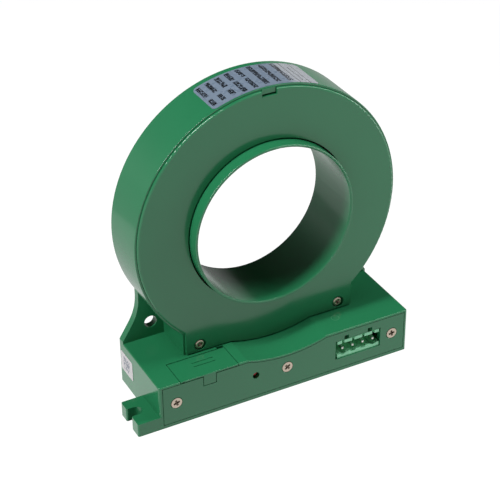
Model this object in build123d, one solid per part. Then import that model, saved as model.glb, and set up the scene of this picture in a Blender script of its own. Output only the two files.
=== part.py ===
from build123d import *
from math import cos, radians, sin, sqrt
import os

os.makedirs("parts", exist_ok=True)

# Frame: X along the base, Y from the front panel to the back, Z up from the mounting face.

# Base housing
BASE_LENGTH = 120.0
BASE_DEPTH = 39.4
BASE_HEIGHT = 21.0
SHELL = 2.4
TOP_WALL = 2.0
BACK_WALL = 2.0
CORNER_RADIUS = 1.2
EDGE_RADIUS = 0.6
FRONT_EDGE_RADIUS = 0.3
SADDLE_CHORD = 38.0
SADDLE_DEPTH = 3.0

# Ring housing
RING_RADIUS = 60.4
RING_SINK = 5.4
RING_DEPTH = 22.9
RING_WALL = 2.0
BORE_RADIUS = 35.4
TUBE_WALL = 1.2
TUBE_PROUD = 5.3
TUBE_LIP_RADIUS = 0.45
PEDESTAL_HALF = 40.8
WEB_THICKNESS = 3.5
WEB_HOLE_OFFSET = 6.0
WEB_HOLE_RISE = 7.4
WEB_HOLE_RADIUS = 2.85
WEB_TUCK = 8.5
WEB_FOOT_RISE = 1.0
WEB_WAIST_RISE = 13.9
WEB_BEND = 24.0

# Ring cover
COVER_PROUD = 1.2
COVER_THICKNESS = 2.4
COVER_INSET = 0.9
COVER_LAP_GAP = 0.12
COVER_TUBE_GAP = 0.7
COVER_DECK_GAP = 0.6
COVER_EDGE_RADIUS = 0.8
COVER_SCREW_INSET = 7.3
COVER_SCREW_RISE = 3.7
COVER_SEAT_RADIUS = 2.8
COVER_SEAT_DEPTH = 1.3
COVER_BOSS_RADIUS = 3.4
CATCH_WIDTH = 6.0
CATCH_DEPTH = 2.2
CATCH_SLOT = 0.8

# Mounting ears
EAR_REACH = 10.0
EAR_DEPTH = 17.4
EAR_HEIGHT = 6.3
EAR_SLOT_WIDTH = 5.2
EAR_SLOT_REACH = 6.0
EAR_SLOT_SETBACK = 9.2
EAR_CORNER_RADIUS = 0.8

# Front panel
PANEL_THICKNESS = 2.5
PANEL_RIM = 1.5
PANEL_GAP = 0.25
PANEL_TOP_DROP = 0.8
PANEL_SCREW_INSET = 7.8
PANEL_SCREW_HEIGHT = 11.2
PANEL_BOSS_RADIUS = 3.0
PANEL_BOSS_LENGTH = 9.0
LED_X = -15.1
LED_HEIGHT = 12.1
LED_WINDOW_RADIUS = 1.6
SOCKET_INSET = 24.6
SOCKET_WIDTH = 22.6
SOCKET_BOTTOM = 6.6
SOCKET_TOP = 16.1
SOCKET_SHIFT = 0.4
LATCH_NOTCH_WIDTH = 2.2
LATCH_NOTCH_HEIGHT = 1.75
LATCH_NOTCH_SPACING = 11.7

# Access door
DOOR_INSET = 23.3
DOOR_LENGTH = 26.6
DOOR_REACH = 13.6
DOOR_THICKNESS = 2.4
DOOR_GAP = 0.3
DOOR_LIP = 0.65
DOOR_NOTCH_WIDTH = 1.2
DOOR_NOTCH_INSET = 0.5
TONGUE_WIDTH = 5.6
TONGUE_DROP = 5.4
TONGUE_THICKNESS = 1.4
GRIP_LENGTH = 9.7
GRIP_WIDTH = 0.7
GRIP_PROUD = 0.3
GRIP_PITCH = 2.5
GRIP_SETBACK = 8.5
GRIP_SHIFT = 1.1
HINGE_PIN_RADIUS = 0.7
HINGE_CLEARANCE = 0.05
HINGE_PIN_LENGTH = 2.0
HINGE_LUG_WALL = 0.9
HINGE_POCKET_LENGTH = 3.4
HINGE_POCKET_DEPTH = 1.2

# Circuit board
BOARD_THICKNESS = 1.6
BOARD_BOTTOM = 5.1
BOARD_END_GAP = 3.1
BOARD_FRONT_SETBACK = 4.5
BOARD_BACK_SETBACK = 5.0
BOARD_POST_INSET = 4.5
BOARD_POST_FRONT_INSET = 10.7
BOARD_POST_REAR_INSET = 3.2
BOARD_POST_RADIUS = 2.6

# Terminal header
PIN_PITCH = 5.08
PIN_COUNT = 4
PIN_SIZE = 1.0
PIN_HEIGHT = 4.3
PIN_RECESS = 0.2
HEADER_SIDE_GAP = 0.8
HEADER_SETBACK = 0.5
HEADER_HEIGHT = 8.7
HEADER_DEPTH = 12.0
HEADER_TOP_WALL = 1.6
HEADER_BACK_WALL = 1.6
HEADER_FLOOR = 1.3
HEADER_RIDGE = 2.0
HEADER_SLOT = 1.2
HEADER_SLOT_DEPTH = 3.0
HEADER_GROOVE_RADIUS = 2.2

# Fasteners
PANEL_SCREW_HEAD_RADIUS = 2.5
PANEL_SCREW_HEAD_DEPTH = 1.3
PANEL_SCREW_LENGTH = 10.0
SCREW_SHANK_RADIUS = 1.3
COVER_SCREW_HEAD_RADIUS = 2.1
COVER_SCREW_HEAD_HEIGHT = 1.1
COVER_SCREW_LENGTH = 9.0
BOARD_SCREW_HEAD_RADIUS = 2.1
BOARD_SCREW_HEAD_HEIGHT = 1.4
BOARD_SCREW_SHANK_RADIUS = 1.0
SCREW_HOLE_GAP = 0.3
RECESS_WIDTH = 0.6
RECESS_DEPTH = 0.8

# Indicator
LED_SETBACK = 5.0
LED_TIP_SETBACK = 1.25
LED_SIDE_GAP = 0.3
LED_RIM = 0.5
LED_RIM_LENGTH = 1.0
LED_HOLDER_WIDTH = 4.8
LED_HOLDER_DEPTH = 5.0

# Service header
SERVICE_PITCH = 2.54
SERVICE_COUNT = 5
SERVICE_SETBACK = 8.25
SERVICE_DEPTH = 2.5
SERVICE_HEIGHT = 2.5
SERVICE_PIN_SIZE = 0.64
SERVICE_PIN_HEIGHT = 7.0

# Coil
COIL_RADIAL_GAP = 1.1
COIL_BOSS_GAP = 0.5
COIL_BORE_GAP = 1.6
FOAM_THICKNESS = 1.2
TAPE_THICKNESS = 0.5
WINDING_THICKNESS = 1.8
CASE_WALL = 1.0
NEST_GAP = 0.3
LEAD_RADIUS = 0.5
LEAD_PITCH = 2.5
LEAD_COUNT = 4
LEAD_SETBACK = 10.7
LEAD_PORT_WIDTH = 12.0
LEAD_PORT_DEPTH = 5.0
LEAD_SOCKET_HEIGHT = 5.0
LEAD_SOCKET_DEPTH = 5.0
LEAD_SOCKET_WALL = 1.0
LEAD_SOCKET_CORNER = 0.5

# Parts on the circuit board: a gap is from an edge or from the header's back, a shift from the middle
CHIP_STANDOFF = 0.15
CHIP_LEG_REACH = 0.9
CHIP_LEG_ROOT = 0.2
CHIP_LEG_THICKNESS = 0.4
CHIP_LEG_SHARE = 0.4
MICRO_X = -27.0
MICRO_SHIFT = 6.25
MICRO_LENGTH = 8.0
MICRO_WIDTH = 6.0
MICRO_HEIGHT = 1.4
MICRO_LEG_PITCH = 0.9
MICRO_LEG_COUNT = 8
BUS_X = 18.0
BUS_FRONT_GAP = 6.2
BUS_LENGTH = 5.0
BUS_WIDTH = 4.0
BUS_HEIGHT = 1.6
BUS_LEG_PITCH = 1.27
BUS_LEG_COUNT = 4
CONVERTER_X = 37.0
CONVERTER_GAP = 3.2
CONVERTER_LENGTH = 19.0
CONVERTER_WIDTH = 10.0
CONVERTER_HEIGHT = 8.0
CONVERTER_CORNER = 0.6
CAN_X = 22.5
CAN_RADIUS = 3.5
CAN_HEIGHT = 8.0
CAN_PITCH = 9.5
CAN_GAP = 4.2
CAN_ROLL_RADIUS = 0.5
CHOKE_X = 14.5
CHOKE_GAP = 8.7
CHOKE_RADIUS = 3.2
CHOKE_CORE_RADIUS = 2.2
CHOKE_HEIGHT = 5.0
CHOKE_FLANGE = 1.2
CRYSTAL_X = -14.25
CRYSTAL_SHIFT = 8.0
CRYSTAL_LENGTH = 7.5
CRYSTAL_WIDTH = 4.5
CRYSTAL_HEIGHT = 3.4
CRYSTAL_CORNER = 2.0
CHIP_LENGTH = 2.0
CHIP_WIDTH = 1.2
CHIP_HEIGHT = 0.6
CHIP_PITCH = 4.5
CHIP_COUNT = 6
CHIP_X = -43.0
CHIP_STAGGER = 2.0
CHIP_REAR_GAP = 2.2
CHIP_FRONT_GAP = 14.2

# Labels
LABEL_THICKNESS = 0.15
RIM_LABEL_ARC = 46.0
RIM_LABEL_WIDTH = 19.6
RIM_LABEL_SETBACK = 0.5
RIM_LABEL_CORNER = 2.0
SIDE_LABEL_LENGTH = 12.0
SIDE_LABEL_HEIGHT = 9.4
SIDE_LABEL_CORNER = 1.0
SIDE_LABEL_Z = 11.9
SIDE_LABEL_SETBACK = 6.7

# Derived positions
FRONT = -BASE_DEPTH / 2
BACK = BASE_DEPTH / 2
HALF = BASE_LENGTH / 2
PANEL_BACK = FRONT + PANEL_THICKNESS
INNER_BACK = BACK - BACK_WALL
PANEL_SCREW_SPREAD = HALF - PANEL_SCREW_INSET
SOCKET_X = HALF - SOCKET_INSET
SOCKET_MIDDLE = SOCKET_X - SOCKET_SHIFT
DOOR_X = DOOR_INSET - HALF
RING_HEIGHT = BASE_HEIGHT - RING_SINK + RING_RADIUS
RING_FRONT = BACK - RING_DEPTH
TUBE_RADIUS = BORE_RADIUS + TUBE_WALL
COVER_FRONT = RING_FRONT - COVER_PROUD
COVER_BACK = COVER_FRONT + COVER_THICKNESS
COVER_SCREW_X = PEDESTAL_HALF - COVER_SCREW_INSET
COVER_SCREW_HEIGHT = BASE_HEIGHT + COVER_SCREW_RISE
TUBE_FRONT = COVER_FRONT - TUBE_PROUD
WEB_WAIST = RING_RADIUS - WEB_TUCK
WEB_WAIST_HEIGHT = BASE_HEIGHT + WEB_WAIST_RISE
WEB_HOLE_X = PEDESTAL_HALF + WEB_HOLE_OFFSET
WEB_HOLE_HEIGHT = BASE_HEIGHT + WEB_HOLE_RISE
BOARD_TOP = BOARD_BOTTOM + BOARD_THICKNESS
BOARD_FRONT = FRONT + BOARD_FRONT_SETBACK
BOARD_REAR = BACK - BOARD_BACK_SETBACK
BOARD_MIDDLE = (BOARD_FRONT + BOARD_REAR) / 2
BOARD_HALF_LENGTH = HALF - SHELL - BOARD_END_GAP
DOOR_BACK = FRONT + DOOR_REACH
HINGE_DROP = DOOR_THICKNESS / 2
HINGE_Y = DOOR_BACK - HINGE_DROP
HINGE_Z = BASE_HEIGHT - HINGE_DROP
HINGE_BARREL = HINGE_DROP * sqrt(2)
HINGE_HOLE_RADIUS = HINGE_PIN_RADIUS + HINGE_CLEARANCE
HEADER_FRONT = FRONT + HEADER_SETBACK
HEADER_BACK = HEADER_FRONT + HEADER_DEPTH
HEADER_WIDTH = SOCKET_WIDTH - 2 * HEADER_SIDE_GAP
PIN_Z = BOARD_TOP + PIN_HEIGHT
SERVICE_Y = FRONT + SERVICE_SETBACK
LEAD_Y = BACK - LEAD_SETBACK
BOSS_DISTANCE = sqrt(COVER_SCREW_X ** 2 + (RING_HEIGHT - COVER_SCREW_HEIGHT) ** 2)
COIL_OUTER = min(RING_RADIUS - RING_WALL - COIL_RADIAL_GAP, BOSS_DISTANCE - COVER_BOSS_RADIUS - COIL_BOSS_GAP)
COIL_INNER = TUBE_RADIUS + COIL_BORE_GAP


def through_y(face, front, back):
    """Solid of an XZ face between two Y values."""
    return Pos(0, back, 0) * extrude(Plane.XZ * face, amount=back - front, dir=(0, -1, 0))


def ring_disc(radius, front, back):
    """Disc on the ring axis."""
    return through_y(Pos(0, RING_HEIGHT) * Circle(radius), front, back)


def hollow_ring(outer, inner, front, back):
    """Ring of rectangular section on the ring axis."""
    face = Pos(0, RING_HEIGHT) * (Circle(outer) - Circle(inner))
    return through_y(face, front, back)


def block(x0, x1, y0, y1, z0, z1):
    """Box between two corners."""
    box = Box(x1 - x0, y1 - y0, z1 - z0)
    return Pos((x0 + x1) / 2, (y0 + y1) / 2, (z0 + z1) / 2) * box


def rod_y(radius, x, z, front, back):
    """Round bar along Y."""
    return through_y(Pos(x, z) * Circle(radius), front, back)


def rod_z(radius, x, y, bottom, top):
    """Round bar along Z."""
    return Pos(x, y, (bottom + top) / 2) * Cylinder(radius, top - bottom)


def deck_face(side, bottom, drop):
    """Base outline with its saddle, inset at the sides, at the bottom and at the top."""
    half = HALF - side
    top = BASE_HEIGHT - drop
    chord = SADDLE_CHORD / 2
    saddle = ThreePointArc((chord, top), (0, top - SADDLE_DEPTH), (-chord, top))
    right = Polyline((-half, bottom), (half, bottom), (half, top), (chord, top))
    left = Polyline((-chord, top), (-half, top), (-half, bottom))
    return make_face([*right.edges(), *saddle.edges(), *left.edges()])


def ring_face(inset):
    """Ring outline with its pedestal, inset all round."""
    half = PEDESTAL_HALF - inset
    top = RING_HEIGHT - RING_RADIUS / 2
    bottom = BASE_HEIGHT - SADDLE_DEPTH
    pedestal = Pos(0, (top + bottom) / 2) * Rectangle(2 * half, top - bottom)
    return Pos(0, RING_HEIGHT) * Circle(RING_RADIUS - inset) + pedestal


def web_face():
    """Back web that runs from the base ends up to the ring."""
    bottom = BASE_HEIGHT - TOP_WALL
    foot = BASE_HEIGHT + WEB_FOOT_RISE
    slope = (HALF - WEB_WAIST) / (WEB_WAIST_HEIGHT - foot)
    top = RING_HEIGHT - sqrt(RING_RADIUS ** 2 - WEB_WAIST ** 2) + RING_WALL
    bend = WEB_BEND * (sqrt(1 + slope ** 2) - 1) / slope
    outline = Polygon(
        (-HALF, bottom), (HALF, bottom), (HALF, foot), (WEB_WAIST, WEB_WAIST_HEIGHT),
        (WEB_WAIST, max(top, WEB_WAIST_HEIGHT + 1.5 * bend)),
        (-WEB_WAIST, max(top, WEB_WAIST_HEIGHT + 1.5 * bend)),
        (-WEB_WAIST, WEB_WAIST_HEIGHT), (-HALF, foot), align=None)
    waist = [v for v in outline.vertices() if abs(v.Y - WEB_WAIST_HEIGHT) < 0.01]
    outline = fillet(waist, WEB_BEND)
    holes = [Pos(s * WEB_HOLE_X, WEB_HOLE_HEIGHT) * Circle(WEB_HOLE_RADIUS) for s in (-1, 1)]
    return outline - holes


def ear():
    """Slotted mounting ear at the front left corner."""
    inner = HALF - SHELL / 2
    plate = block(-HALF - EAR_REACH, -inner, FRONT, FRONT + EAR_DEPTH, 0, EAR_HEIGHT)
    slot_y = FRONT + EAR_SLOT_SETBACK
    end_x = -HALF - EAR_REACH + EAR_SLOT_REACH - EAR_SLOT_WIDTH / 2
    half = EAR_SLOT_WIDTH / 2
    outer = -HALF - EAR_REACH
    slot = block(outer - 1, end_x, slot_y - half, slot_y + half, -1, EAR_HEIGHT + 1)
    slot += rod_z(half, end_x, slot_y, -1, EAR_HEIGHT + 1)
    plate -= slot
    corners = [e for e in plate.edges().filter_by(Axis.Z) if e.center().X < outer + 0.01]
    return fillet(corners, EAR_CORNER_RADIUS)


def base_block():
    """Solid base with rounded front corners and a softened top edge."""
    solid = through_y(deck_face(0, 0, 0), FRONT, BACK)
    corners = [e for e in solid.edges().filter_by(Axis.Z) if e.center().Y < FRONT + 0.01]
    solid = fillet(corners, CORNER_RADIUS)
    ends = [e for e in solid.edges().filter_by(Axis.Y)
            if abs(e.center().X) > HALF - 0.01 and e.center().Z > BASE_HEIGHT - 0.01]
    solid = fillet(ends, EDGE_RADIUS)
    crest = [e for e in solid.edges()
             if abs(e.center().Y - FRONT) < 0.01 and e.center().Z > BASE_HEIGHT - 1.5 * SADDLE_DEPTH]
    return fillet(crest, FRONT_EDGE_RADIUS)


def ring_block():
    """Solid ring, pedestal and back web, before they are hollowed."""
    solid = through_y(ring_face(0), RING_FRONT, BACK)
    rim = [e for e in solid.edges().filter_by(GeomType.CIRCLE) if e.center().Y < RING_FRONT + 0.01]
    solid = fillet(rim, FRONT_EDGE_RADIUS)
    solid += through_y(web_face(), BACK - WEB_THICKNESS, BACK)
    return solid


def ring_cavity():
    """Room for the coil, the pockets beside it and the step that the cover laps."""
    inside = hollow_ring(RING_RADIUS - RING_WALL, TUBE_RADIUS, RING_FRONT - 1, INNER_BACK)
    half = PEDESTAL_HALF - RING_WALL
    top = RING_HEIGHT - RING_RADIUS / 2
    pocket = Pos(0, (BASE_HEIGHT + top) / 2) * Rectangle(2 * half, top - BASE_HEIGHT)
    pocket -= Pos(0, RING_HEIGHT) * Circle(RING_RADIUS)
    inside += through_y(pocket, RING_FRONT - 1, INNER_BACK)
    step = ring_face(COVER_INSET - COVER_LAP_GAP) - Pos(0, RING_HEIGHT) * Circle(TUBE_RADIUS)
    step -= Pos(0, (BASE_HEIGHT - SADDLE_DEPTH) / 2) * Rectangle(BASE_LENGTH, BASE_HEIGHT + SADDLE_DEPTH)
    step = through_y(step, RING_FRONT - 1, COVER_BACK)
    return inside + step


def cover_bosses():
    """Posts behind the two cover screws."""
    bosses = []
    for side in (-1, 1):
        x = side * COVER_SCREW_X
        bosses.append(rod_y(COVER_BOSS_RADIUS, x, COVER_SCREW_HEIGHT, COVER_BACK, INNER_BACK))
    return bosses


def panel_screw_x():
    return (-PANEL_SCREW_SPREAD, 0, PANEL_SCREW_SPREAD)


def panel_bosses():
    """Posts behind the three panel screws, each hung from the deck by a rib."""
    bosses = []
    end = PANEL_BACK + PANEL_BOSS_LENGTH
    for x in panel_screw_x():
        drop = TOP_WALL / 2 + (SADDLE_DEPTH if x == 0 else 0)
        post = rod_y(PANEL_BOSS_RADIUS, x, PANEL_SCREW_HEIGHT, PANEL_BACK, end)
        rib = block(x - TOP_WALL / 2, x + TOP_WALL / 2, PANEL_BACK, end,
                    PANEL_SCREW_HEIGHT, BASE_HEIGHT - drop)
        bosses.append(post + rib)
    return bosses


def board_post_xy():
    x = BOARD_HALF_LENGTH - BOARD_POST_INSET
    rows = (BOARD_FRONT + BOARD_POST_FRONT_INSET, BOARD_REAR - BOARD_POST_REAR_INSET)
    return [(side * x, y) for side in (-1, 1) for y in rows]


def board_posts():
    """Posts that carry the circuit board."""
    return [rod_z(BOARD_POST_RADIUS, x, y, SHELL / 2, BOARD_BOTTOM) for x, y in board_post_xy()]


def hinge_lugs():
    """Thickened ends of the door opening that carry the hinge pins."""
    lugs = []
    reach = HINGE_HOLE_RADIUS + HINGE_LUG_WALL
    for side in (-1, 1):
        inner = DOOR_X + side * (DOOR_LENGTH / 2 + DOOR_GAP)
        outer = inner + side * (HINGE_PIN_LENGTH + HINGE_LUG_WALL)
        lugs.append(block(min(inner, outer), max(inner, outer), HINGE_Y - reach, HINGE_Y + reach,
                          HINGE_Z - reach, BASE_HEIGHT - TOP_WALL / 2))
    return lugs


def door_opening():
    """Opening in the deck, the hinge pin holes and the relief pocket at one end."""
    half = DOOR_LENGTH / 2 + DOOR_GAP
    bottom = BASE_HEIGHT - TOP_WALL - HINGE_PIN_LENGTH
    hole = block(DOOR_X - half, DOOR_X + half, FRONT - 1, HINGE_Y, bottom, BASE_HEIGHT + 1)
    axis = Pos(DOOR_X, HINGE_Y, HINGE_Z) * Rot(0, 90, 0)
    hole += axis * Cylinder(HINGE_BARREL + DOOR_GAP, 2 * half)
    hole += axis * Cylinder(HINGE_HOLE_RADIUS, 2 * (half + HINGE_PIN_LENGTH))
    right = DOOR_X + half
    hole += block(right - HINGE_POCKET_LENGTH, right, DOOR_BACK, DOOR_BACK + DOOR_GAP + HINGE_POCKET_DEPTH,
                  bottom, BASE_HEIGHT + 1)
    return hole


def screw_pilots():
    """Holes that the screws bite into."""
    pilots = []
    radius = SCREW_SHANK_RADIUS
    for x in panel_screw_x():
        pilots.append(rod_y(radius, x, PANEL_SCREW_HEIGHT, PANEL_BACK - 1, FRONT + PANEL_SCREW_LENGTH))
    floor = COVER_FRONT + COVER_SEAT_DEPTH
    for side in (-1, 1):
        pilots.append(rod_y(radius, side * COVER_SCREW_X, COVER_SCREW_HEIGHT,
                            COVER_BACK - 1, floor + COVER_SCREW_LENGTH))
    for x, y in board_post_xy():
        pilots.append(rod_z(BOARD_SCREW_SHANK_RADIUS, x, y, SHELL, BOARD_BOTTOM + 1))
    return pilots


def bore_tube():
    """Tube through the ring, with a rounded lip at the front."""
    tube = hollow_ring(TUBE_RADIUS, BORE_RADIUS, TUBE_FRONT, BACK)
    lips = [e for e in tube.edges().filter_by(GeomType.CIRCLE) if e.center().Y < TUBE_FRONT + 0.01]
    return fillet(lips, TUBE_LIP_RADIUS)


def lead_port():
    """Slot between the ring and the base for the coil wires."""
    half = LEAD_PORT_WIDTH / 2
    bottom = BASE_HEIGHT - SADDLE_DEPTH - TOP_WALL - 1
    return block(-half, half, LEAD_Y - LEAD_PORT_DEPTH / 2, LEAD_Y + LEAD_PORT_DEPTH / 2,
                 bottom, RING_HEIGHT - COIL_OUTER)


def housing():
    """One moulding: base box, pedestal, ring shell, bore tube, back web and ears."""
    body = base_block() + ring_block() + ear() + Rot(0, 0, 180) * ear()
    body -= through_y(deck_face(SHELL, SHELL, TOP_WALL), FRONT - 1, INNER_BACK)
    body -= through_y(deck_face(PANEL_RIM, PANEL_RIM, PANEL_TOP_DROP), FRONT - 1, PANEL_BACK)
    body -= ring_cavity()
    body -= ring_disc(TUBE_RADIUS - TUBE_WALL / 2, RING_FRONT - 1, BACK + 1)
    body += bore_tube()
    body += cover_bosses()
    body += panel_bosses()
    body += board_posts()
    body += hinge_lugs()
    body -= door_opening()
    body -= screw_pilots()
    body -= lead_port()
    body += catch_tab()
    return body


def catch_tab():
    """Tab at the crown of the ring that holds the cover's edge."""
    half = CATCH_WIDTH / 2
    top = RING_HEIGHT + RING_RADIUS - COVER_INSET / 2
    tab = block(-half, half, COVER_FRONT + COVER_EDGE_RADIUS, COVER_BACK, top - CATCH_DEPTH, top)
    return tab


def ring_cover():
    """Front plate of the ring, with a skirt that closes the pedestal."""
    face = ring_face(COVER_INSET) - Pos(0, RING_HEIGHT) * Circle(TUBE_RADIUS + COVER_TUBE_GAP)
    plate = through_y(face, COVER_FRONT, COVER_BACK)
    rim = RING_RADIUS - COVER_INSET
    edges = [e for e in plate.edges().filter_by(GeomType.CIRCLE)
             if e.center().Y < COVER_FRONT + 0.01 and abs(e.radius - rim) < 0.01]
    plate = fillet(edges, COVER_EDGE_RADIUS)
    plate -= through_y(deck_face(0, -1, -COVER_DECK_GAP), COVER_FRONT - 1, COVER_BACK + 1)
    half = CATCH_WIDTH / 2 + CATCH_SLOT / 2
    top = RING_HEIGHT + RING_RADIUS
    floor = top - COVER_INSET / 2 - CATCH_DEPTH - CATCH_SLOT
    plate -= block(-half, half, COVER_FRONT - 1, COVER_BACK + 1, floor, top + 1)
    seat = COVER_FRONT + COVER_SEAT_DEPTH
    for side in (-1, 1):
        x = side * COVER_SCREW_X
        plate -= rod_y(COVER_SEAT_RADIUS, x, COVER_SCREW_HEIGHT, COVER_FRONT - 1, seat)
        plate -= rod_y(SCREW_SHANK_RADIUS + SCREW_HOLE_GAP, x, COVER_SCREW_HEIGHT, seat - 1, COVER_BACK + 1)
    return plate


def countersink(x, grow):
    """Cone and hole for a panel screw, grown all round by a gap."""
    radius = PANEL_SCREW_HEAD_RADIUS + grow
    shank = SCREW_SHANK_RADIUS + grow
    cone = Cone(shank, radius, PANEL_SCREW_HEAD_DEPTH)
    middle = FRONT + PANEL_SCREW_HEAD_DEPTH / 2
    return Pos(x, middle, PANEL_SCREW_HEIGHT) * Rot(90, 0, 0) * cone


def front_panel():
    """Plate that closes the base, held by three screws."""
    inset = PANEL_RIM + PANEL_GAP
    plate = through_y(deck_face(inset, inset, PANEL_TOP_DROP + PANEL_GAP), FRONT, PANEL_BACK)
    for x in panel_screw_x():
        shank = SCREW_SHANK_RADIUS + SCREW_HOLE_GAP
        plate -= countersink(x, SCREW_HOLE_GAP)
        plate -= rod_y(shank, x, PANEL_SCREW_HEIGHT, FRONT - 1, PANEL_BACK + 1)
    plate -= rod_y(LED_WINDOW_RADIUS, LED_X, LED_HEIGHT, FRONT - 1, PANEL_BACK + 1)
    half = SOCKET_WIDTH / 2
    plate -= block(SOCKET_MIDDLE - half, SOCKET_MIDDLE + half, FRONT - 1, PANEL_BACK + 1,
                   SOCKET_BOTTOM, SOCKET_TOP)
    for side in (-1, 1):
        x = SOCKET_MIDDLE + side * LATCH_NOTCH_SPACING / 2
        plate -= block(x - LATCH_NOTCH_WIDTH / 2, x + LATCH_NOTCH_WIDTH / 2, FRONT - 1, PANEL_BACK + 1,
                       SOCKET_TOP - 1, SOCKET_TOP + LATCH_NOTCH_HEIGHT)
    half = TONGUE_WIDTH / 2 + DOOR_GAP
    plate -= block(DOOR_X - half, DOOR_X + half, FRONT - 1, PANEL_BACK + 1,
                   BASE_HEIGHT - TONGUE_DROP - DOOR_GAP, BASE_HEIGHT)
    return plate


def access_door():
    """Flap over the service header, with moulded hinge pins and a front tongue."""
    half = DOOR_LENGTH / 2
    profile = [(FRONT, BASE_HEIGHT - DOOR_LIP), (FRONT, BASE_HEIGHT), (HINGE_Y, BASE_HEIGHT),
               (HINGE_Y, BASE_HEIGHT - DOOR_THICKNESS),
               (PANEL_BACK + DOOR_GAP, BASE_HEIGHT - DOOR_THICKNESS),
               (PANEL_BACK + DOOR_GAP, BASE_HEIGHT - DOOR_LIP)]
    outline = Polygon(*profile, align=None)
    crest = [v for v in outline.vertices() if v.X < FRONT + 0.01 and v.Y > BASE_HEIGHT - 0.01]
    outline = fillet(crest, FRONT_EDGE_RADIUS)
    barrel = Circle(HINGE_BARREL) & Rectangle(2 * HINGE_BARREL, DOOR_THICKNESS)
    outline += Pos(HINGE_Y, HINGE_Z) * barrel
    flap = Pos(DOOR_X, 0, 0) * extrude(Plane.YZ * outline, amount=half, both=True)
    notch = DOOR_X - half + DOOR_NOTCH_INSET
    flap -= block(notch, notch + DOOR_NOTCH_WIDTH, FRONT - 1, PANEL_BACK + DOOR_GAP,
                  BASE_HEIGHT - DOOR_LIP - 1, BASE_HEIGHT - DOOR_LIP / 2)
    axis = Pos(DOOR_X, HINGE_Y, HINGE_Z) * Rot(0, 90, 0)
    flap += axis * Cylinder(HINGE_PIN_RADIUS, DOOR_LENGTH + 2 * HINGE_PIN_LENGTH)
    tongue = TONGUE_WIDTH / 2
    flap += block(DOOR_X - tongue, DOOR_X + tongue, FRONT, FRONT + TONGUE_THICKNESS,
                  BASE_HEIGHT - TONGUE_DROP, BASE_HEIGHT - DOOR_LIP / 2)
    for row in (0, 1):
        y = FRONT + GRIP_SETBACK + (row - 0.5) * GRIP_PITCH
        middle = DOOR_X + GRIP_SHIFT
        rib = block(middle - GRIP_LENGTH / 2, middle + GRIP_LENGTH / 2,
                    y - GRIP_WIDTH / 2, y + GRIP_WIDTH / 2, BASE_HEIGHT - GRIP_PROUD,
                    BASE_HEIGHT + GRIP_PROUD)
        flap += rib
    return flap


def cross_recess(radius, x, z, front):
    """Cross-shaped driver recess in a head that faces the front."""
    arm = radius * 0.6
    half = RECESS_WIDTH / 2
    cross = block(x - arm, x + arm, front - 1, front + RECESS_DEPTH, z - half, z + half)
    return cross + block(x - half, x + half, front - 1, front + RECESS_DEPTH, z - arm, z + arm)


def panel_screws():
    """Countersunk screws of the front panel."""
    screws = []
    for x in panel_screw_x():
        screw = countersink(x, 0)
        screw += rod_y(SCREW_SHANK_RADIUS, x, PANEL_SCREW_HEIGHT, FRONT + PANEL_SCREW_HEAD_DEPTH / 2,
                       FRONT + PANEL_SCREW_LENGTH)
        screws.append(screw - cross_recess(PANEL_SCREW_HEAD_RADIUS, x, PANEL_SCREW_HEIGHT, FRONT))
    return screws


def cover_screws():
    """Pan head screws in the skirt of the cover."""
    screws = []
    seat = COVER_FRONT + COVER_SEAT_DEPTH
    front = seat - COVER_SCREW_HEAD_HEIGHT
    for side in (-1, 1):
        x = side * COVER_SCREW_X
        head = rod_y(COVER_SCREW_HEAD_RADIUS, x, COVER_SCREW_HEIGHT, front, seat)
        crown = head.edges().filter_by(GeomType.CIRCLE).sort_by(Axis.Y)[0]
        head = fillet(crown, COVER_SCREW_HEAD_HEIGHT / 2)
        screw = head + rod_y(SCREW_SHANK_RADIUS, x, COVER_SCREW_HEIGHT, seat - 0.1,
                             seat + COVER_SCREW_LENGTH)
        screws.append(screw - cross_recess(COVER_SCREW_HEAD_RADIUS, x, COVER_SCREW_HEIGHT, front))
    return screws


def circuit_board():
    """Board across the base, held by four screws."""
    board = block(-BOARD_HALF_LENGTH, BOARD_HALF_LENGTH, BOARD_FRONT, BOARD_REAR, BOARD_BOTTOM, BOARD_TOP)
    for x, y in board_post_xy():
        board -= rod_z(BOARD_SCREW_SHANK_RADIUS + SCREW_HOLE_GAP, x, y, BOARD_BOTTOM - 1, BOARD_TOP + 1)
    return board


def board_screws():
    """Pan head screws of the circuit board."""
    screws = []
    for x, y in board_post_xy():
        head = rod_z(BOARD_SCREW_HEAD_RADIUS, x, y, BOARD_TOP, BOARD_TOP + BOARD_SCREW_HEAD_HEIGHT)
        crown = head.edges().filter_by(GeomType.CIRCLE).sort_by(Axis.Z)[-1]
        head = fillet(crown, BOARD_SCREW_HEAD_HEIGHT / 2)
        screws.append(head + rod_z(BOARD_SCREW_SHANK_RADIUS, x, y, SHELL, BOARD_TOP + 0.1))
    return screws


def pin_x():
    return [SOCKET_X + (i - (PIN_COUNT - 1) / 2) * PIN_PITCH for i in range(PIN_COUNT)]


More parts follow.
